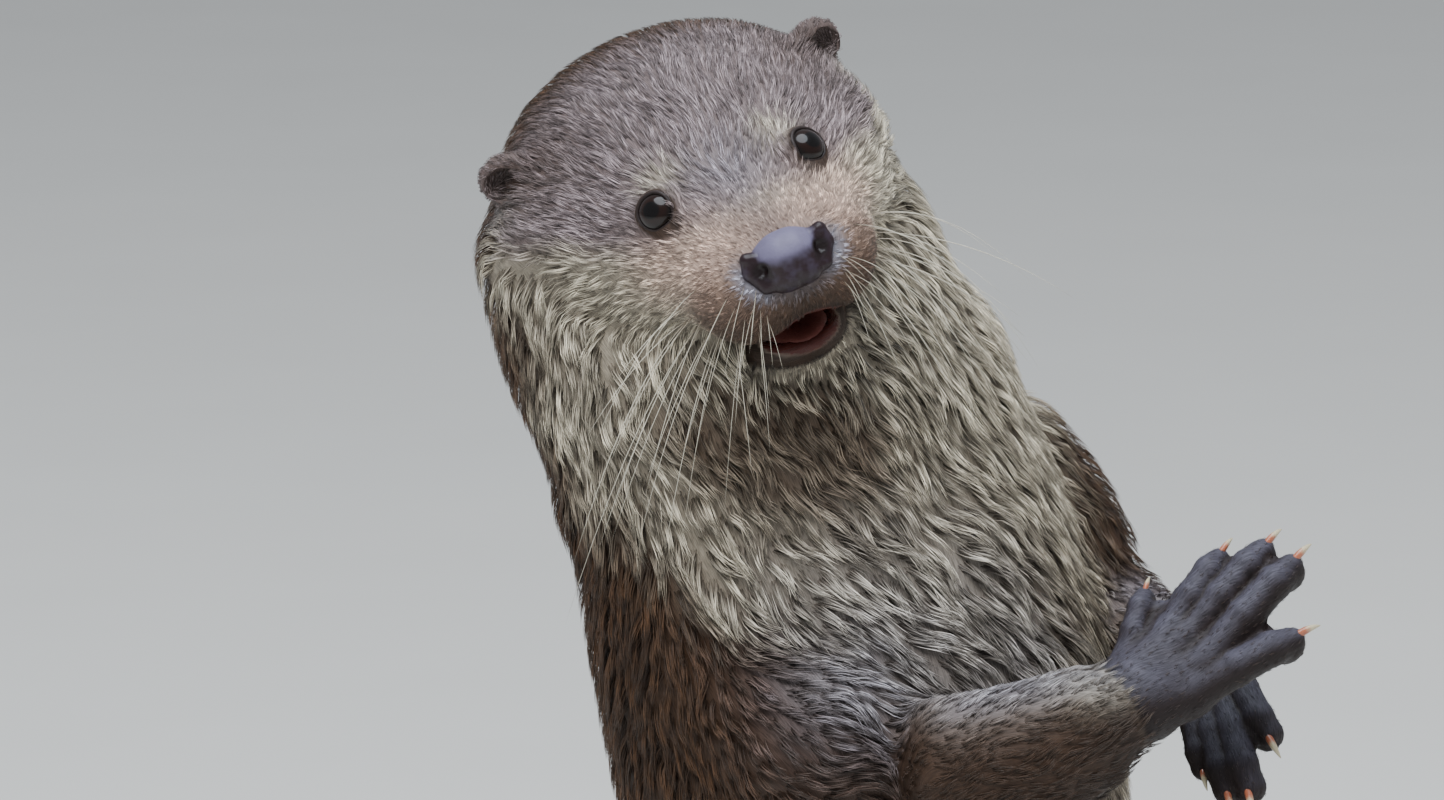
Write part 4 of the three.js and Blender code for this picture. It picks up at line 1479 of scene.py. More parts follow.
@dataclass
class Tufts:
    """A set of tufts: their paths over the skin and what each strand needs."""

    path: Array  # tuft, step, xyz
    normal: Array  # tuft, step, xyz
    measure: dict
    masks: tuple
    part: Array
    place: Array  # where the root lies on the skin's unwrap

    def chosen(self, index: Array) -> "Tufts":
        """Only the tufts of these numbers."""
        measure = {name: values[index] for name, values in self.measure.items()}
        masks = tuple(mask[index] for mask in self.masks)
        path, normal = self.path[index], self.normal[index]
        return Tufts(path, normal, measure, masks, self.part[index], self.place[index])


class Coat:
    """The hair, as tapered strands in tufts that lie over the skin."""

    STEPS = 5
    CANDIDATES = 4.0  # places tried for each tuft
    THINNER, QUICK_THINNER = 1.25, 1.8  # how much wider the tufts stand than their growth says
    PATCH = 0.003  # a tuft's share of the map's side
    BURIED = 0.0009  # how deep a root lies under the skin, in metres
    GUARD = 0.12  # share of strands that are longer and finer, and stray from the tuft

    def __init__(self, anatomy: Anatomy, skin: Skin, seed: int = 7) -> None:
        """Reads the finished skin."""
        self.anatomy, self.skin = anatomy, skin
        self.random = np.random.default_rng(seed)
        self.fields = Fields(anatomy, skin.tree, skin.obj)
        self.markings = Markings(self.fields)
        self.lie = Lie(self.fields, self.markings)
        self.triangles = triangles_of(skin.obj)
        self.tree = BVHTree.FromPolygons(self.fields.points.tolist(), self.triangles.tolist())

    def dress_skin(self) -> None:
        """Keeps the markings on the skin, for its material."""
        obj = self.skin.obj
        first, second = self.markings.hair_masks()
        store(obj, "marks_one", first)
        store(obj, "marks_two", second)
        store(obj, "paw", self.markings.paw)
        store(obj, "comb", self._comb())

    def _comb(self) -> Array:
        """A place across and along the hair for each point, in metres."""
        f = self.fields
        comb = np.stack((np.radians(f.angle) * f.away, f.along, np.zeros(len(f.along))), 1)
        head = among(f.part, HEAD_PARTS)
        x, y, z = (f.head[head] - np.array(Lie.NOSE)).T
        ring = np.hypot(x, z + 4)
        comb[head] = np.stack((np.arctan2(x, z + 4) * np.maximum(ring, 12), np.hypot(ring, y), 0 * x), 1)
        for index, along, angle, away, _ in f.limbs():
            comb[index] = np.stack((np.radians(angle) * away, along, 0 * along), 1)
        return comb * MM

    def unwrapped(self) -> Array:
        """Where each point of the skin lies when it is laid flat, before it is fitted to a square."""
        return self._comb()[:, :2] / MM

    def plant(self) -> Tufts:
        """Sets the roots over the skin and combs a path for each tuft."""
        lie, f = self.lie, self.fields
        corners = f.points[self.triangles]
        sides = corners[:, 1:] - corners[:, :1]
        area = 0.5 * length_of(np.cross(sides[:, 0], sides[:, 1]))
        thinner = self.THINNER
        spacing = lie.measure["spacing"][self.triangles].mean(1) * thinner
        bare = self.markings.bare[self.triangles].mean(1) > 0.4
        share = np.where(bare, 0.0, area / (spacing * MM) ** 2)
        count = int(share.sum() * self.CANDIDATES)
        face = self.random.choice(len(share), count, p=share / share.sum())
        a, b = self.random.random((2, count))
        flip = a + b > 1
        a, b = np.where(flip, 1 - a, a), np.where(flip, 1 - b, b)
        weights = np.stack((1 - a - b, a, b), 1)
        roots = (corners[face] * weights[:, :, None]).sum(1)
        keep = self._space_out(roots, spacing[face] * MM * 0.8)
        face, weights, roots = face[keep], weights[keep], roots[keep]

        def at(values: Array) -> Array:
            """Values of the skin's vertices, read at the roots."""
            picked = values[self.triangles[face]]
            return np.einsum("ij,ij...->i...", weights, picked)

        measure = {name: at(values) for name, values in lie.measure.items()}
        measure["length"] *= self.random.uniform(0.78, 1.2, len(roots))
        masks = tuple(at(m) for m in self.markings.hair_masks())
        nearest = self.triangles[face, weights.argmax(1)]
        path, normal = self._comb_paths(roots, unit(at(f.normals)), unit(at(lie.flow)), measure)
        LOG.info("coat: %d tufts", len(roots))
        return Tufts(path, normal, measure, masks, f.part[nearest], self.unwrapped()[nearest])

    def _space_out(self, roots: Array, gaps: Array) -> Array:
        """Picks roots so that none is nearer to another than its own gap.

        Args:
            roots: The places tried.
            gaps: The gap of each, in metres.

        Returns:
            The numbers of those kept.
        """
        tree, rows = KDTree(len(roots)), roots.tolist()
        for i, root in enumerate(rows):
            tree.insert(root, i)
        tree.balance()
        free = bytearray(b"\x01") * len(rows)
        kept = []
        for i, gap in enumerate(gaps.tolist()):
            if free[i]:
                kept.append(i)
                for _, j, _ in tree.find_range(rows[i], gap):
                    free[j] = 0
        return np.array(kept)

    def _comb_paths(self, roots: Array, normals: Array, flow: Array, measure: dict) -> tuple[Array, Array]:
        """Walks each tuft over the skin, along the lie of the hair, which swirls a little.

        Args:
            roots: Where the tufts start.
            normals: The skin's normal at each.
            flow: The hair's direction at each.
            measure: The tufts' measures.

        Returns:
            The places of each path's steps, and the normals there.
        """
        swirl = np.clip(0.16 + 0.36 * measure["wave"], 0, 0.62)
        own = self.random.normal(0, 0.09, len(roots))

        def turned(at: Array, normal: Array, along: Array) -> Array:
            """The hair's direction, turned in its plane by the swirl of that place."""
            angle = swirl * mottle(at, 0.0105, 21.3) + own
            return unit(along + np.cross(normal, along) * angle[:, None])

        point, direction = roots, turned(roots, normals, flow)
        path, normal = [roots], [normals]
        step = (measure["length"] * MM / (self.STEPS - 1))[:, None]
        mean_flow = self.lie.flow[self.triangles].mean(1)
        for _ in range(self.STEPS - 1):
            hits = [self.tree.find_nearest(p) for p in (point + direction * step).tolist()]
            point = np.array([tuple(hit[0]) for hit in hits])
            face_normal = np.array([tuple(hit[1]) for hit in hits])
            face = np.array([hit[2] for hit in hits])
            direction = unit(turned(point, face_normal, unit(mean_flow[face])) + direction * 0.5)
            path.append(point)
            normal.append(unit(normal[-1] + 0.7 * face_normal))
        return np.stack(path, 1), np.stack(normal, 1)

    def grow(self, tufts: Tufts, name: str, rings: int) -> Object:
        """Makes one piece of the coat.

        Args:
            tufts: Its tufts.
            name: The piece's name.
            rings: How many rings of three points each strand has below its tip.

        Returns:
            The piece.
        """
        random, number = self.random, len(tufts.path)
        count = np.round(tufts.measure["strands"] * random.uniform(0.8, 1.2, number))
        count = np.maximum(count, 2).astype(int)
        owner = np.repeat(np.arange(number), count)
        total = len(owner)
        m = {name: values[owner] for name, values in tufts.measure.items()}
        path, normal = tufts.path[owner], tufts.normal[owner]
        along = unit(np.gradient(path, axis=1))
        across = unit(np.cross(normal, along))
        guard = random.random(total) < self.GUARD
        radius = np.sqrt(random.random(total)) * m["reach"] * MM
        turn = random.uniform(0, 2 * np.pi, total)
        sideways, lengthways = radius * np.cos(turn), radius * np.sin(turn)
        gather = m["gather"] * random.uniform(0.75, 1.1, total) * np.where(guard, 0.35, 1)
        gather = np.clip(gather, 0, 0.96)
        reach = random.uniform(0.72, 1.0, total) * np.where(guard, 1.16, 1)
        roots = tufts.path[:, 0]
        swing = m["wave"] * (1.1 * mottle(roots, 0.009, 5.5) + random.normal(0, 0.25, number))[owner] * MM
        phase = (0.8 + 0.25 * mottle(roots, 0.014, 2.2))[owner]
        rise = m["depth"] * MM * random.uniform(0.72, 1.02, total) * np.where(guard, 1.1, 1)
        stray = random.normal(0, 0.05, total) * m["length"] * MM * np.where(guard, 2.2, 1)
        width = m["width"] * MM * random.uniform(0.7, 1.25, total) * np.where(guard, 0.6, 1)
        places = np.linspace(0, 1, rings + 1)
        strand, lines = np.arange(total), []
        for s in places:
            where = np.clip(s * reach, 0, 1) * (self.STEPS - 1)
            low = np.minimum(where.astype(int), self.STEPS - 2)
            part = (where - low)[:, None]

            def at(rows: Array) -> Array:
                """What the path holds at this share of each strand."""
                return rows[strand, low] * (1 - part) + rows[strand, low + 1] * part

            beyond = np.maximum(s * reach - 1, 0)[:, None]
            n, a, c = unit(at(normal)), unit(at(along)), unit(at(across))
            p = at(path) + a * beyond * (m["length"] * MM)[:, None]
            loose = 1 - gather * s**0.9
            side = sideways * loose + swing * np.sin(2 * np.pi * phase * s) * s + stray * s * s
            height = rise * (1 - (1 - s) ** 1.5) - self.BURIED * (1 - s) ** 4
            p = p + c * side[:, None] + a * (lengthways * loose)[:, None] + n * height[:, None]
            lines.append((p, c, n))
        return self.strands(name, lines, width, owner, tufts, places)

    def strands(
        self, name: str, lines: list, width: Array, owner: Array, tufts: Tufts, places: Array
    ) -> Object:
        """Builds closed three-sided spikes, with what their finish reads and the OFBake map.

        Args:
            name: The piece's name.
            lines: For each ring of all strands, its middles, and the directions sideways and up.
            width: Each strand's width in metres.
            owner: The number of each strand's tuft.
            tufts: The tufts.
            places: How far along the strand each ring lies, 0 to 1.

        Returns:
            The piece.
        """
        total, rings = len(owner), len(lines) - 1
        per = rings * 3 + 1
        points = np.empty((total, per, 3))
        for k, (middle, side, up) in enumerate(lines[:-1]):
            s = places[k]
            w = (width * (0.8 + 0.5 * s - 1.1 * s * s))[:, None]
            points[:, k * 3] = middle - side * w * 0.5
            points[:, k * 3 + 1] = middle + up * w * 0.42
            points[:, k * 3 + 2] = middle + side * w * 0.5
        points[:, -1] = lines[-1][0]
        points[:, :, 2] = np.maximum(points[:, :, 2], 0.0001)
        faces = []
        for k in range(rings - 1):
            for j in range(3):
                a, b = k * 3 + j, k * 3 + (j + 1) % 3
                faces.append((a, b, b + 3, a + 3))
        last = (rings - 1) * 3
        faces += [(2, 1, 0), *((last + j, last + (j + 1) % 3, per - 1) for j in range(3))]
        pattern = np.array([v for face in faces for v in face])
        loops = (np.arange(total)[:, None] * per + pattern).ravel()
        sizes = np.tile([len(face) for face in faces], total)
        mesh = bpy.data.meshes.new(name)
        mesh.vertices.add(total * per)
        mesh.vertices.foreach_set("co", points.ravel())
        mesh.loops.add(len(loops))
        mesh.loops.foreach_set("vertex_index", loops.astype(np.int32))
        mesh.polygons.add(len(sizes))
        mesh.polygons.foreach_set("loop_start", (np.cumsum(sizes) - sizes).astype(np.int32))
        mesh.update(calc_edges=True)
        obj = bpy.data.objects.new(name, mesh)
        link(obj)
        level = np.concatenate((np.repeat(places[:-1], 3), (1.0,)))
        shade = self.random.random(len(tufts.path))[owner]
        strand = self.random.random(total)
        root = tufts.measure["root"][owner][:, None]
        hair = np.stack(np.broadcast_arrays(root + (1 - root) * level, shade[:, None], strand[:, None]), 2)
        store(obj, "hair", hair)
        for label, mask in zip(("marks_one", "marks_two"), tufts.masks):
            store(obj, label, np.repeat(mask[owner], per, 0))
        store(obj, "paw", np.repeat(tufts.measure["paw"][owner], per))
        self._bake_map(mesh, faces, level, tufts.place, owner)
        return obj

    def _bake_map(self, mesh: Mesh, faces: list, level: Array, place: Array, owner: Array) -> None:
        """Gives each tuft its own small patch, at its root's place on the unwrapped skin.

        Args:
            mesh: The strands.
            faces: The faces of one strand.
            level: How far along the strand each of its points lies.
            place: Where each tuft's root lies on the unwrapped skin.
            owner: The tuft of each strand.
        """
        low, high = np.percentile(place, (0.2, 99.8), axis=0)
        spot = np.clip((place - low) / np.maximum(high - low, 1e-9), 0, 1) * (1 - 2 * self.PATCH) + self.PATCH
        corner = []
        for face in faces:
            if len(face) == 4:
                j = face[0] % 3
                corner += [(j / 3, level[face[0]]), ((j + 1) / 3, level[face[1]])]
                corner += [((j + 1) / 3, level[face[2]]), (j / 3, level[face[3]])]
            elif face == (2, 1, 0):
                corner += [(1.0, 0.0), (0.5, 0.3), (0.0, 0.0)]
            else:
                j = face[0] % 3
                corner += [(j / 3, level[face[0]]), ((j + 1) / 3, level[face[0]]), ((j + 0.5) / 3, 1.0)]
        corner = (np.array(corner) - 0.5) * self.PATCH
        layer = mesh.uv_layers.new(name=UNWRAP, do_init=False)
        layer.uv.foreach_set("vector", (spot[owner][:, None] + corner[None]).astype(np.float32).ravel())


@dataclass(frozen=True)
class CoatPiece:
    """One piece of the coat: its name, its parts, and the side or sector round the spine that it holds."""

    name: str
    parts: tuple
    rings: int = 2
    side: Side | None = None
    sector: tuple | None = None  # degrees round the spine, from and to

    def choose(self, part: Array, left: Array, angle: Array) -> Array:
        """Which tufts it holds.

        Args:
            part: Each tuft's part number.
            left: Whether each lies on the otter's left.
            angle: Each tuft's angle round the spine.

        Returns:
            True for those it holds.
        """
        chosen = among(part, self.parts)
        if self.side is not None:
            chosen &= left == (self.side is Side.LEFT)
        if self.sector is not None:
            start, end = self.sector
            chosen &= (angle - start) % 360 < (end - start) % 360
        return chosen


COAT_PIECES = (
    CoatPiece("coat_head_left", HEAD_PARTS, 2, Side.LEFT),
    CoatPiece("coat_head_right", HEAD_PARTS, 2, Side.RIGHT),
    CoatPiece("coat_neck_right", (Part.NECK,), 3, None, (-150, -40)),
    CoatPiece("coat_neck_front", (Part.NECK,), 3, None, (-40, 60)),
    CoatPiece("coat_neck_back", (Part.NECK,), 2, None, (60, -150)),
    CoatPiece("coat_chest_right", (Part.CHEST,), 3, None, (-150, -45)),
    CoatPiece("coat_chest_front", (Part.CHEST,), 3, None, (-45, 60)),
    CoatPiece("coat_chest_back", (Part.CHEST,), 2, None, (60, -150)),
    CoatPiece("coat_belly", (Part.BELLY,)),
    CoatPiece("coat_hips", (Part.HIPS,)),
    CoatPiece("coat_tail", (Part.TAIL,)),
    CoatPiece("coat_arm_right", ARM, 3, Side.RIGHT),
    CoatPiece("coat_arm_left", ARM, 2, Side.LEFT),
    CoatPiece("coat_leg_right", LEG_PARTS, 2, Side.RIGHT),
    CoatPiece("coat_leg_left", LEG_PARTS, 2, Side.LEFT),
)


@dataclass(frozen=True)
class Whiskers:
    """The long stiff hairs of the muzzle."""

    rows: int = 5
    columns: int = 6
    thick: float = 0.31
    shortest: float = 13.0
    longest: float = 62.0
    rings: int = 9
    beyond: float = 14.0  # how far they may stand outside the box of the solids
    shrink: float = 0.96  # what shortens one that stands further out, again and again

    def build(self, anatomy: Anatomy, coat: "Coat", finish: Material, solid_box: tuple) -> None:
        """Sets the whiskers in both sides of the muzzle, as one piece.

        Args:
            anatomy: The frames.
            coat: The coat, which knows the skin.
            finish: Their material.
            solid_box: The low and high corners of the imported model.
        """
        random, head = np.random.default_rng(11), anatomy.head
        down = np.array((0, 0, -1.0)) @ head.axes
        least, most = np.array(solid_box) + np.array([[-1.0], [1.0]]) * self.beyond * MM
        roots, paths, sides, widths = [], [], [], []
        steps = np.linspace(0, 1, self.rings + 1)
        for side, row, column in product(Side, range(self.rows), range(self.columns)):
            rear, low = column / (self.columns - 1), row / (self.rows - 1)
            at = np.array((side.value * (13 + 14 * rear), -43 + 25 * rear, -19 - 11 * low - 2 * rear))
            at += random.normal(0, 1.0, 3)
            root, normal, face, _ = coat.tree.find_nearest(head.world(at).tolist())
            fan = math.radians(8 + 66 * min(1, 0.62 * rear + 0.5 * (1 - low)) + random.normal(0, 8))
            ahead = np.array((side.value * math.sin(fan), -0.3 + 0.5 * rear, -math.cos(fan)))
            ahead = unit(unit(ahead) + 0.3 * np.array(normal) @ head.axes)
            length = (self.shortest + (self.longest - self.shortest) * rear) * random.uniform(0.8, 1.1)
            bend = 0.75 + 0.35 * random.normal() + 0.3 * rear
            curve = ahead * steps[:, None] + down * 0.5 * bend * steps[:, None] ** 2
            start = head.local(np.array([root]))[0]
            line = head.world(start + length * curve)
            while (line < least).any() or (line > most).any():
                length *= self.shrink
                line = head.world(start + length * curve)
            widths.append(self.thick * MM * (0.55 + 0.5 * rear) * random.uniform(0.75, 1.15))
            roots.append(coat.triangles[face][0])
            paths.append(line)
            sides.append(head.turned(np.cross(ahead, (0, 1.0, 0))))
        paths, sides, own = np.array(paths), unit(np.array(sides)), np.arange(len(paths))
        ups = [unit(np.cross(along, sides)) for along in unit(np.gradient(paths, axis=1)).swapaxes(0, 1)]
        none = np.zeros(len(paths))
        blank = np.zeros((len(paths), 3))
        place = coat.unwrapped()[roots]
        tufts = Tufts(paths, np.stack(ups, 1), {"root": none, "paw": none}, (blank, blank), own, place)
        lines = [(paths[:, k], sides, up) for k, up in enumerate(ups)]
        obj = coat.strands("whiskers", lines, np.array(widths), own, tufts, steps)
        dress(obj, finish)


# ---- Finishes ----


@dataclass(frozen=True)
class CoatColours:
    """The coat's colours, as linear red, green and blue."""

    back: tuple = (0.062, 0.031, 0.015)
    pale: tuple = (0.61, 0.555, 0.435)
    tan: tuple = (0.8, 0.57, 0.46)
    crown: tuple = (0.29, 0.238, 0.25)
    # pale bluish-grey hair tips and painted bluish sheen
    frost: tuple = (0.43, 0.45, 0.56)
    # the dark of rims and lips, also used for painted shade
    dark: tuple = (0.007, 0.004, 0.003)
    mouth: tuple = (0.085, 0.025, 0.02)
    paw: tuple = (0.016, 0.0105, 0.01)
    # painted sheen on the paws' tops and ridges
    sheen: tuple = (0.058, 0.055, 0.075)


class NodeKit:
    """Short ways to add nodes and links to a tree."""

    def __init__(self, tree: NodeTree) -> None:
        """Keeps the tree."""
        self.tree = tree

    def node(self, kind: str, inputs: dict | None = None, **values: object) -> Node:
        """Adds a node.

        Args:
            kind: Its type.
            inputs: What its inputs are fed, by their names or numbers.
            values: Its properties.

        Returns:
            The node.
        """
        node = self.tree.nodes.new(kind)
        for key, value in values.items():
            setattr(node, key, value)
        self.dress(node, inputs or {})
        return node

    def feed(self, socket: Socket, value: object) -> None:
        """Links an output to a socket, or sets the socket's own value."""
        if isinstance(value, Socket):
            self.tree.links.new(value, socket)
        elif isinstance(value, tuple) and len(value) == 3 and socket.type == "RGBA":
            socket.default_value = (*value, 1.0)
        else:
            socket.default_value = value

    def dress(self, node: Node, values: dict) -> None:
        """Feeds a node's inputs, by their names or numbers."""
        for key, value in values.items():
            self.feed(node.inputs[key], value)

    def math(self, operation: str, a: object, b: object = 0.0, clamp: bool = False) -> Socket:
        """What an operation makes of two values."""
        return self.node("ShaderNodeMath", {0: a, 1: b}, operation=operation, use_clamp=clamp).outputs[0]

    def times(self, a: object, b: object) -> Socket:
        """The product of two values."""
        return self.math("MULTIPLY", a, b)

    def plus(self, a: object, b: object, clamp: bool = False) -> Socket:
        """The sum of two values."""
        return self.math("ADD", a, b, clamp)

    def mix(self, factor: object, a: object, b: object, blend: str = "MIX") -> Socket:
        """A mix of two colours."""
        inputs = {0: factor, 6: a, 7: b}
        return self.node("ShaderNodeMix", inputs, data_type="RGBA", blend_type=blend).outputs[2]

    def remap(self, value: object, low: float, high: float, to_low: float, to_high: float) -> Socket:
        """A value moved from one range to another, with a smooth curve."""
        inputs = dict(enumerate((value, low, high, to_low, to_high)))
        return self.node("ShaderNodeMapRange", inputs, interpolation_type="SMOOTHSTEP").outputs[0]

    def split(self, name: str) -> tuple:
        """The three parts of a stored attribute."""
        stored = self.node("ShaderNodeAttribute", attribute_name=name).outputs["Vector"]
        return tuple(self.node("ShaderNodeSeparateXYZ", {0: stored}).outputs)

    def read(self, name: str) -> Socket:
        """A stored value."""
        return self.node("ShaderNodeAttribute", attribute_name=name).outputs["Fac"]

    def place(self) -> Socket:
        """The place on the object, in metres."""
        return self.node("ShaderNodeTexCoord").outputs["Object"]

    def noise(self, vector: object, scale: float, detail: float = 2.0) -> Socket:
        """Noise from 0 to 1 at a place."""
        inputs = {"Vector": vector, "Scale": scale, "Detail": detail}
        return self.node("ShaderNodeTexNoise", inputs).outputs["Fac"]

    def relief(self, height: object, strength: float, depth: float, sunk: bool = False) -> Socket:
        """A bumped normal from a height, or from how far a place is sunk."""
        values = {"Strength": strength, "Distance": depth, "Height": height}
        return self.node("ShaderNodeBump", values, invert=sunk).outputs[0]

    def shaded(self, colour: object, shade: object) -> Socket:
        """A colour multiplied by a value."""
        grey = self.node("ShaderNodeCombineColor", dict.fromkeys(range(3), shade))
        return self.mix(1.0, colour, grey.outputs[0], "MULTIPLY")


class EffectGroups:
    """The shader groups that several finishes share."""

    def __init__(self, colours: CoatColours) -> None:
        """Builds the markings and the hair streaks."""
        self.colours = colours
        self.markings = self._markings()
        self.streaks = self._streaks()

    def _markings(self) -> NodeTree:
        """The coat's colour from its stored masks."""
        tree = bpy.data.node_groups.new("otter_markings", "ShaderNodeTree")
        for name, colour in vars(self.colours).items():
            socket = tree.interface.new_socket(name.title(), in_out="INPUT", socket_type="NodeSocketColor")
            socket.default_value = (*colour, 1.0)
        tree.interface.new_socket("Colour", in_out="OUTPUT", socket_type="NodeSocketColor")
        kit = NodeKit(tree)
        given, out = kit.node("NodeGroupInput"), kit.node("NodeGroupOutput")
        pale, tan, crown = kit.split("marks_one")
        frost, dark, mouth = kit.split("marks_two")
        place = kit.place()
        patchy = kit.remap(kit.noise(place, 90, 3), 0.3, 0.7, -0.12, 0.12)
        soft = kit.plus(pale, kit.times(patchy, kit.remap(pale, 0, 0.4, 0, 1)), True)
        colour, layers = given.outputs["Back"], (soft, crown, soft, tan, frost, dark, mouth)
        for mask, name in zip(layers, ("Pale", "Crown", "Pale", "Tan", "Frost", "Dark", "Mouth")):
            colour = kit.mix(mask, colour, given.outputs[name])
        # The paws' colour: the painted sheen comes in where the pale mask holds painted light.
        paw = kit.mix(soft, given.outputs["Paw"], given.outputs["Sheen"])
        kit.feed(out.inputs["Colour"], kit.mix(kit.read("paw"), colour, paw))
        return tree

    def _streaks(self) -> NodeTree:
        """Fine lines that run along the hair, from a combed place on the skin."""
        tree = bpy.data.node_groups.new("hair_streaks", "ShaderNodeTree")
        for name, value in (("Across", 2600.0), ("Along", 260.0)):
            socket = tree.interface.new_socket(name, in_out="INPUT", socket_type="NodeSocketFloat")
            socket.default_value = value
        tree.interface.new_socket("Value", in_out="OUTPUT", socket_type="NodeSocketFloat")
        kit = NodeKit(tree)
        given, out = kit.node("NodeGroupInput"), kit.node("NodeGroupOutput")
        comb = kit.split("comb")
        scaled = {k: kit.times(comb[k], given.outputs[k]) for k in (0, 1)}
        joined = kit.node("ShaderNodeCombineXYZ", scaled)
        kit.feed(out.inputs["Value"], kit.noise(joined.outputs[0], 1.0, 3.0))
        return tree

    def place(self, kit: NodeKit, tree: NodeTree, **values: object) -> Socket:
        """Puts a group in a material with its own values, and gives its first output."""
        return kit.node("ShaderNodeGroup", values, node_tree=tree).outputs[0]


def new_material(name: str) -> tuple[Material, NodeKit, Node]:
    """A material with its node kit and its Principled shader."""
    material = bpy.data.materials.new(name)
    material.use_nodes = True
    kit = NodeKit(material.node_tree)
    return material, kit, material.node_tree.nodes["Principled BSDF"]


@dataclass(frozen=True)
class HairFinish:
    """The coat's strands: brown underfur and painted shade at the root, paler at the tip, each tuft and strand
    a little different.
    """

    roughness: float = 0.5
    # how dark the painted shade at the strands' roots is
    root: float = 0.5
    tip: float = 1.25
    under: tuple = (0.07, 0.044, 0.029)  # the colour near the root

    def build(self, groups: EffectGroups) -> Material:
        """The material."""
        material, kit, shader = new_material("hair")
        along, tuft, strand = kit.split("hair")
        colour = groups.place(kit, groups.markings)
        paler = kit.plus(kit.remap(tuft, 0, 1, 0.4, 0.75), kit.remap(strand, 0, 0.6, 0, 0.25))
        full = kit.times(kit.remap(along, 0, 0.6, 0.2, 1), paler)
        colour = kit.mix(full, self.under, colour)
        # Painted shade near the roots, where the tufts shadow one another; the paler tips and each tuft's and
        # strand's tone are the hair's own.
        shade = kit.remap(along, 0, 0.7, self.root, 1)
        shade = kit.times(shade, kit.remap(along, 0.55, 1, 1, self.tip))
        shade = kit.times(shade, kit.remap(tuft, 0, 1, 0.66, 1.26))
        shade = kit.times(shade, kit.remap(strand, 0, 1, 0.6, 1.3))
        even = kit.times(kit.math("SUBTRACT", 0.95, shade), kit.times(kit.read("paw"), 0.75))
        rough = kit.remap(strand, 0, 1, self.roughness - 0.08, self.roughness + 0.1)
        colour = kit.shaded(colour, kit.plus(shade, even))
        kit.dress(shader, {"Base Color": colour, "Roughness": rough, "Specular IOR Level": 0.45})
        return material


@dataclass(frozen=True)
class SkinFinish:
    """The skin under the coat, with short flat hair as fine streaks, and bare on the lips and lids."""

    show: float = 0.4  # how much of the coat's colour the underfur has
    under: tuple = (0.05, 0.03, 0.02)
    shine: float = 0.22

    def build(self, groups: EffectGroups) -> Material:
        """The material."""
        material, kit, shader = new_material("otter_skin")
        colour = groups.place(kit, groups.markings)
        mouth = kit.split("marks_two")[2]
        shown = kit.plus(kit.math("MAXIMUM", mouth, kit.read("paw")), self.show, True)
        streak = groups.place(kit, groups.streaks)
        colour = kit.shaded(kit.mix(shown, self.under, colour), kit.remap(streak, 0.3, 0.7, 0.5, 1))
        rough = kit.math("SUBTRACT", kit.remap(streak, 0.3, 0.7, 0.62, 0.5), kit.times(mouth, 0.3))
        grain = kit.plus(streak, kit.times(kit.noise(kit.place(), 900.0, 2.0), 0.5))
        kit.dress(shader, {"Base Color": colour, "Roughness": rough, "Specular IOR Level": self.shine})
        kit.dress(shader, {"Normal": kit.relief(grain, 0.5, 0.0004)})
        return material


@dataclass(frozen=True)
class EyeFinish:
    """A dark wet eye: a pupil, a brown iris, and a clear coat over both."""

    pupil: tuple = (0.0025, 0.002, 0.002)
    iris: tuple = (0.009, 0.0036, 0.0025)
    edge: tuple = (0.004, 0.003, 0.0025)
    wet: float = 0.42

    def build(self) -> Material:
        """The material."""
        material, kit, shader = new_material("eye_wet")
        gaze = kit.read("gaze")
        colour = kit.mix(kit.remap(gaze, 0.7, 0.86, 0, 1), self.edge, self.iris)
        colour = kit.mix(kit.remap(gaze, 0.925, 0.95, 0, 1), colour, self.pupil)
        kit.dress(shader, {"Base Color": colour, "Roughness": 0.25, "Specular IOR Level": 0.1})
        kit.dress(shader, {"Coat Weight": self.wet, "Coat Roughness": 0.02})
        return material


@dataclass(frozen=True)
class MoistFinish:
    """Bare moist skin: a dark colour and a lighter one, mixed by noise and, where given, by a stored share of
    painted light, with a cobbled grain.
    """

    name: str
    low: tuple
    high: tuple
    lit: str = ""  # the stored share of painted light that brings in the lighter colour
    pit: str = ""  # the stored value that brings in deep shade
    roughness: float = 0.38
    grain: float = 900.0  # cobbles to a metre
    relief: float = 0.35
    shine: float = 0.3

    def build(self) -> Material:
        """The material."""
        material, kit, shader = new_material(self.name)
        place = kit.place()
        amount = kit.noise(place, 260.0, 2.0)
        if self.lit:
            amount = kit.plus(kit.read(self.lit), kit.remap(amount, 0.3, 0.7, -0.12, 0.12), True)
        colour = kit.mix(amount, self.low, self.high)
        if self.pit:
            # Painted deep shade where the pit value is high.
            colour = kit.mix(kit.read(self.pit), colour, (0.006, 0.003, 0.003))
        inputs = {"Vector": place, "Scale": self.grain}
        cells = kit.node("ShaderNodeTexVoronoi", inputs, feature="SMOOTH_F1").outputs["Distance"]
        rough = kit.remap(amount, 0, 1, self.roughness - 0.05, self.roughness + 0.1)
        kit.dress(shader, {"Base Color": colour, "Roughness": rough, "Specular IOR Level": self.shine})
        kit.dress(shader, {"Normal": kit.relief(cells, self.relief, 0.0003, True)})
        return material


# The nose's lighter bluish colour is a painted reflection of the sky lamp, brought in by its lit share; its
# pit colour is painted shade in the nostrils.
NOSE_FINISH = MoistFinish(
    "nose_moist", (0.014, 0.007, 0.009), (0.105, 0.096, 0.155), "lit", "pit",
    roughness=0.44, grain=1500, relief=0.22
)
# The lid rims' lighter colour is painted light on their outer crest.
LID_FINISH = MoistFinish(
    "lid_rim", (0.005, 0.003, 0.003), (0.016, 0.01, 0.009), "height", roughness=0.42, grain=1400.0, relief=0.2
)
TONGUE_FINISH = MoistFinish(
    "tongue_wet", (0.09, 0.026, 0.021), (0.19, 0.066, 0.055), roughness=0.45, grain=1500.0, relief=0.4
)


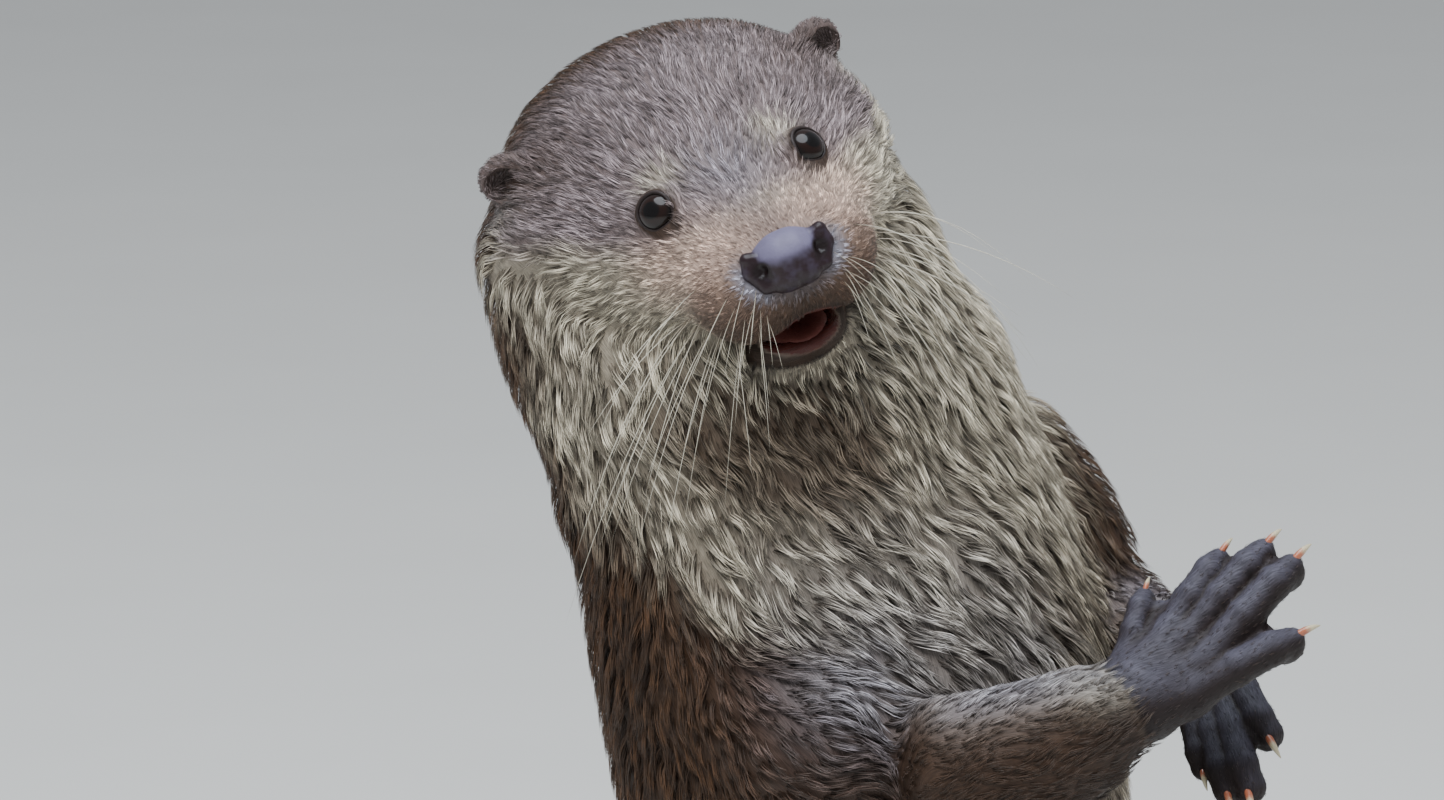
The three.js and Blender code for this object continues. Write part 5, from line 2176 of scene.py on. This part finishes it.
@dataclass(frozen=True)
class ClawFinish:
    """Horn: pink at the quick, pale and clear at the tip, with fine lengthwise lines."""

    quick: tuple = (0.3, 0.095, 0.05)
    tip: tuple = (0.4, 0.355, 0.24)

    def build(self) -> Material:
        """The material."""
        material, kit, shader = new_material("claw_horn")
        cloud = kit.remap(kit.noise(kit.place(), 500, 2), 0.3, 0.7, -0.1, 0.1)
        amount = kit.remap(kit.plus(kit.read("tip"), cloud), 0.25, 0.75, 0, 1)
        kit.dress(shader, {"Base Color": kit.mix(amount, self.quick, self.tip), "Roughness": 0.3})
        return material


@dataclass(frozen=True)
class WhiskerFinish:
    """Pale stiff hair, darker at the root."""

    root: tuple = (0.24, 0.2, 0.15)
    tip: tuple = (0.6, 0.57, 0.47)

    def build(self) -> Material:
        """The material."""
        material, kit, shader = new_material("whisker")
        along, _, strand = kit.split("hair")
        colour = kit.mix(kit.remap(along, 0, 0.35, 0, 1), self.root, self.tip)
        colour = kit.mix(kit.times(strand, 0.25), colour, self.root)
        kit.dress(shader, {"Base Color": colour, "Roughness": 0.35})
        return material


# ---- Stage ----


@dataclass
class Stage:
    """The floor, the light and the camera."""

    anatomy: Anatomy
    floor_size: float = 40.0  # metres
    aim: tuple = (-89.3, 18.0, 550.1)
    distance: float = 2500.0
    azimuth: float = -50.0
    elevation: float = 10.0
    lens: float = 211.9
    # Each lamp's name, place and size in metres, watts, colour, and whether it shows as a highlight.
    lamps: tuple = (
        ("key", (-2.6, -1.1, 3.9), 2.2, 205.0, (1.0, 0.99, 0.98), False),
        ("sky", (-0.6, -0.5, 3.6), 3.2, 195.0, (0.86, 0.93, 1.0), True),
        ("fill", (2.4, -2.6, 1.2), 2.2, 42.0, (1.0, 0.97, 0.93), False),
    )

    def build(self) -> None:
        """Sets the stage."""
        self._floor()
        self._lights()
        self._camera()

    def _floor(self) -> None:
        """A plain pale floor."""
        bpy.ops.mesh.primitive_plane_add(size=self.floor_size, location=(0, 0, 0))
        floor = bpy.context.active_object
        floor.name = "floor"
        material, kit, shader = new_material("pale_floor")
        colour = kit.mix(kit.noise(kit.place(), 6.0, 3.0), (0.62, 0.62, 0.6), (0.66, 0.66, 0.64))
        kit.dress(shader, {"Base Color": colour, "Roughness": 0.9})
        floor.data.materials.append(material)
        floor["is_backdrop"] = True

    def _lights(self) -> None:
        """Soft lamps above and a pale surrounding."""
        middle = Vector((-0.05, -0.15, 0.5))
        for name, at, size, watts, colour, shows in self.lamps:
            lamp = bpy.data.lights.new(name, "AREA")
            lamp.shape, lamp.size, lamp.energy, lamp.color = "DISK", size, watts, colour
            holder = bpy.data.objects.new(name, lamp)
            holder.location = at
            holder.visible_glossy = shows
            holder.rotation_euler = (middle - Vector(at)).to_track_quat("-Z", "Y").to_euler()
            link(holder)
        world = bpy.data.worlds.new("studio")
        world.use_nodes = True
        kit = NodeKit(world.node_tree)
        kit.dress(world.node_tree.nodes["Background"], {"Color": (0.8, 0.84, 0.9), "Strength": 0.5})
        bpy.context.scene.world = world

    def _camera(self) -> None:
        """The camera, a little above the otter's eyes and to its right."""
        turn, rise = math.radians(self.azimuth), math.radians(self.elevation)
        back = Vector((math.sin(turn) * math.cos(rise), -math.cos(turn) * math.cos(rise), math.sin(rise)))
        aim = Vector(self.anatomy.place(self.aim))
        camera = bpy.data.objects.new("camera", bpy.data.cameras.new("camera"))
        camera.data.lens, camera.data.sensor_width = self.lens, 36.0
        camera.location = aim + back * self.distance * MM
        camera.rotation_euler = back.to_track_quat("Z", "Y").to_euler()
        link(camera)
        bpy.context.scene.camera = camera


def main() -> None:
    """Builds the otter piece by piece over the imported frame."""
    logging.basicConfig(level=logging.INFO, format="%(message)s")
    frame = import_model()
    bpy.ops.object.select_all(action="DESELECT")
    for name in ("Cube", "Light", "Camera"):
        if name in bpy.data.objects:
            bpy.data.objects.remove(bpy.data.objects[name])
    solid_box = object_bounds()
    anatomy = Anatomy()
    Stage(anatomy).build()
    groups = EffectGroups(CoatColours())
    skin = Skin(anatomy, frame["nodes"])
    skin.build()
    coat = Coat(anatomy, skin)
    coat.dress_skin()
    skin.obj.data.materials.append(SkinFinish().build(groups))
    Eyes().build(anatomy, EyeFinish().build(), LID_FINISH.build())
    Nose().build(anatomy, NOSE_FINISH.build())
    Tongue().build(anatomy, TONGUE_FINISH.build())
    Claws().build(anatomy, ClawFinish().build())
    hair = HairFinish().build(groups)
    tufts = coat.plant()
    roots = tufts.path[:, 0]
    _, angle, _, _ = anatomy.spine.read(roots)
    for piece in COAT_PIECES:
        left = anatomy.head.local(roots)[:, 0] > 0 if Part.HEAD in piece.parts else roots[:, 0] > 0
        chosen = np.nonzero(piece.choose(tufts.part, left, angle))[0]
        obj = coat.grow(tufts.chosen(chosen), piece.name, piece.rings)
        dress(obj, hair)
    Whiskers().build(anatomy, coat, WhiskerFinish().build(), solid_box)


if __name__ == "__main__":
    main()
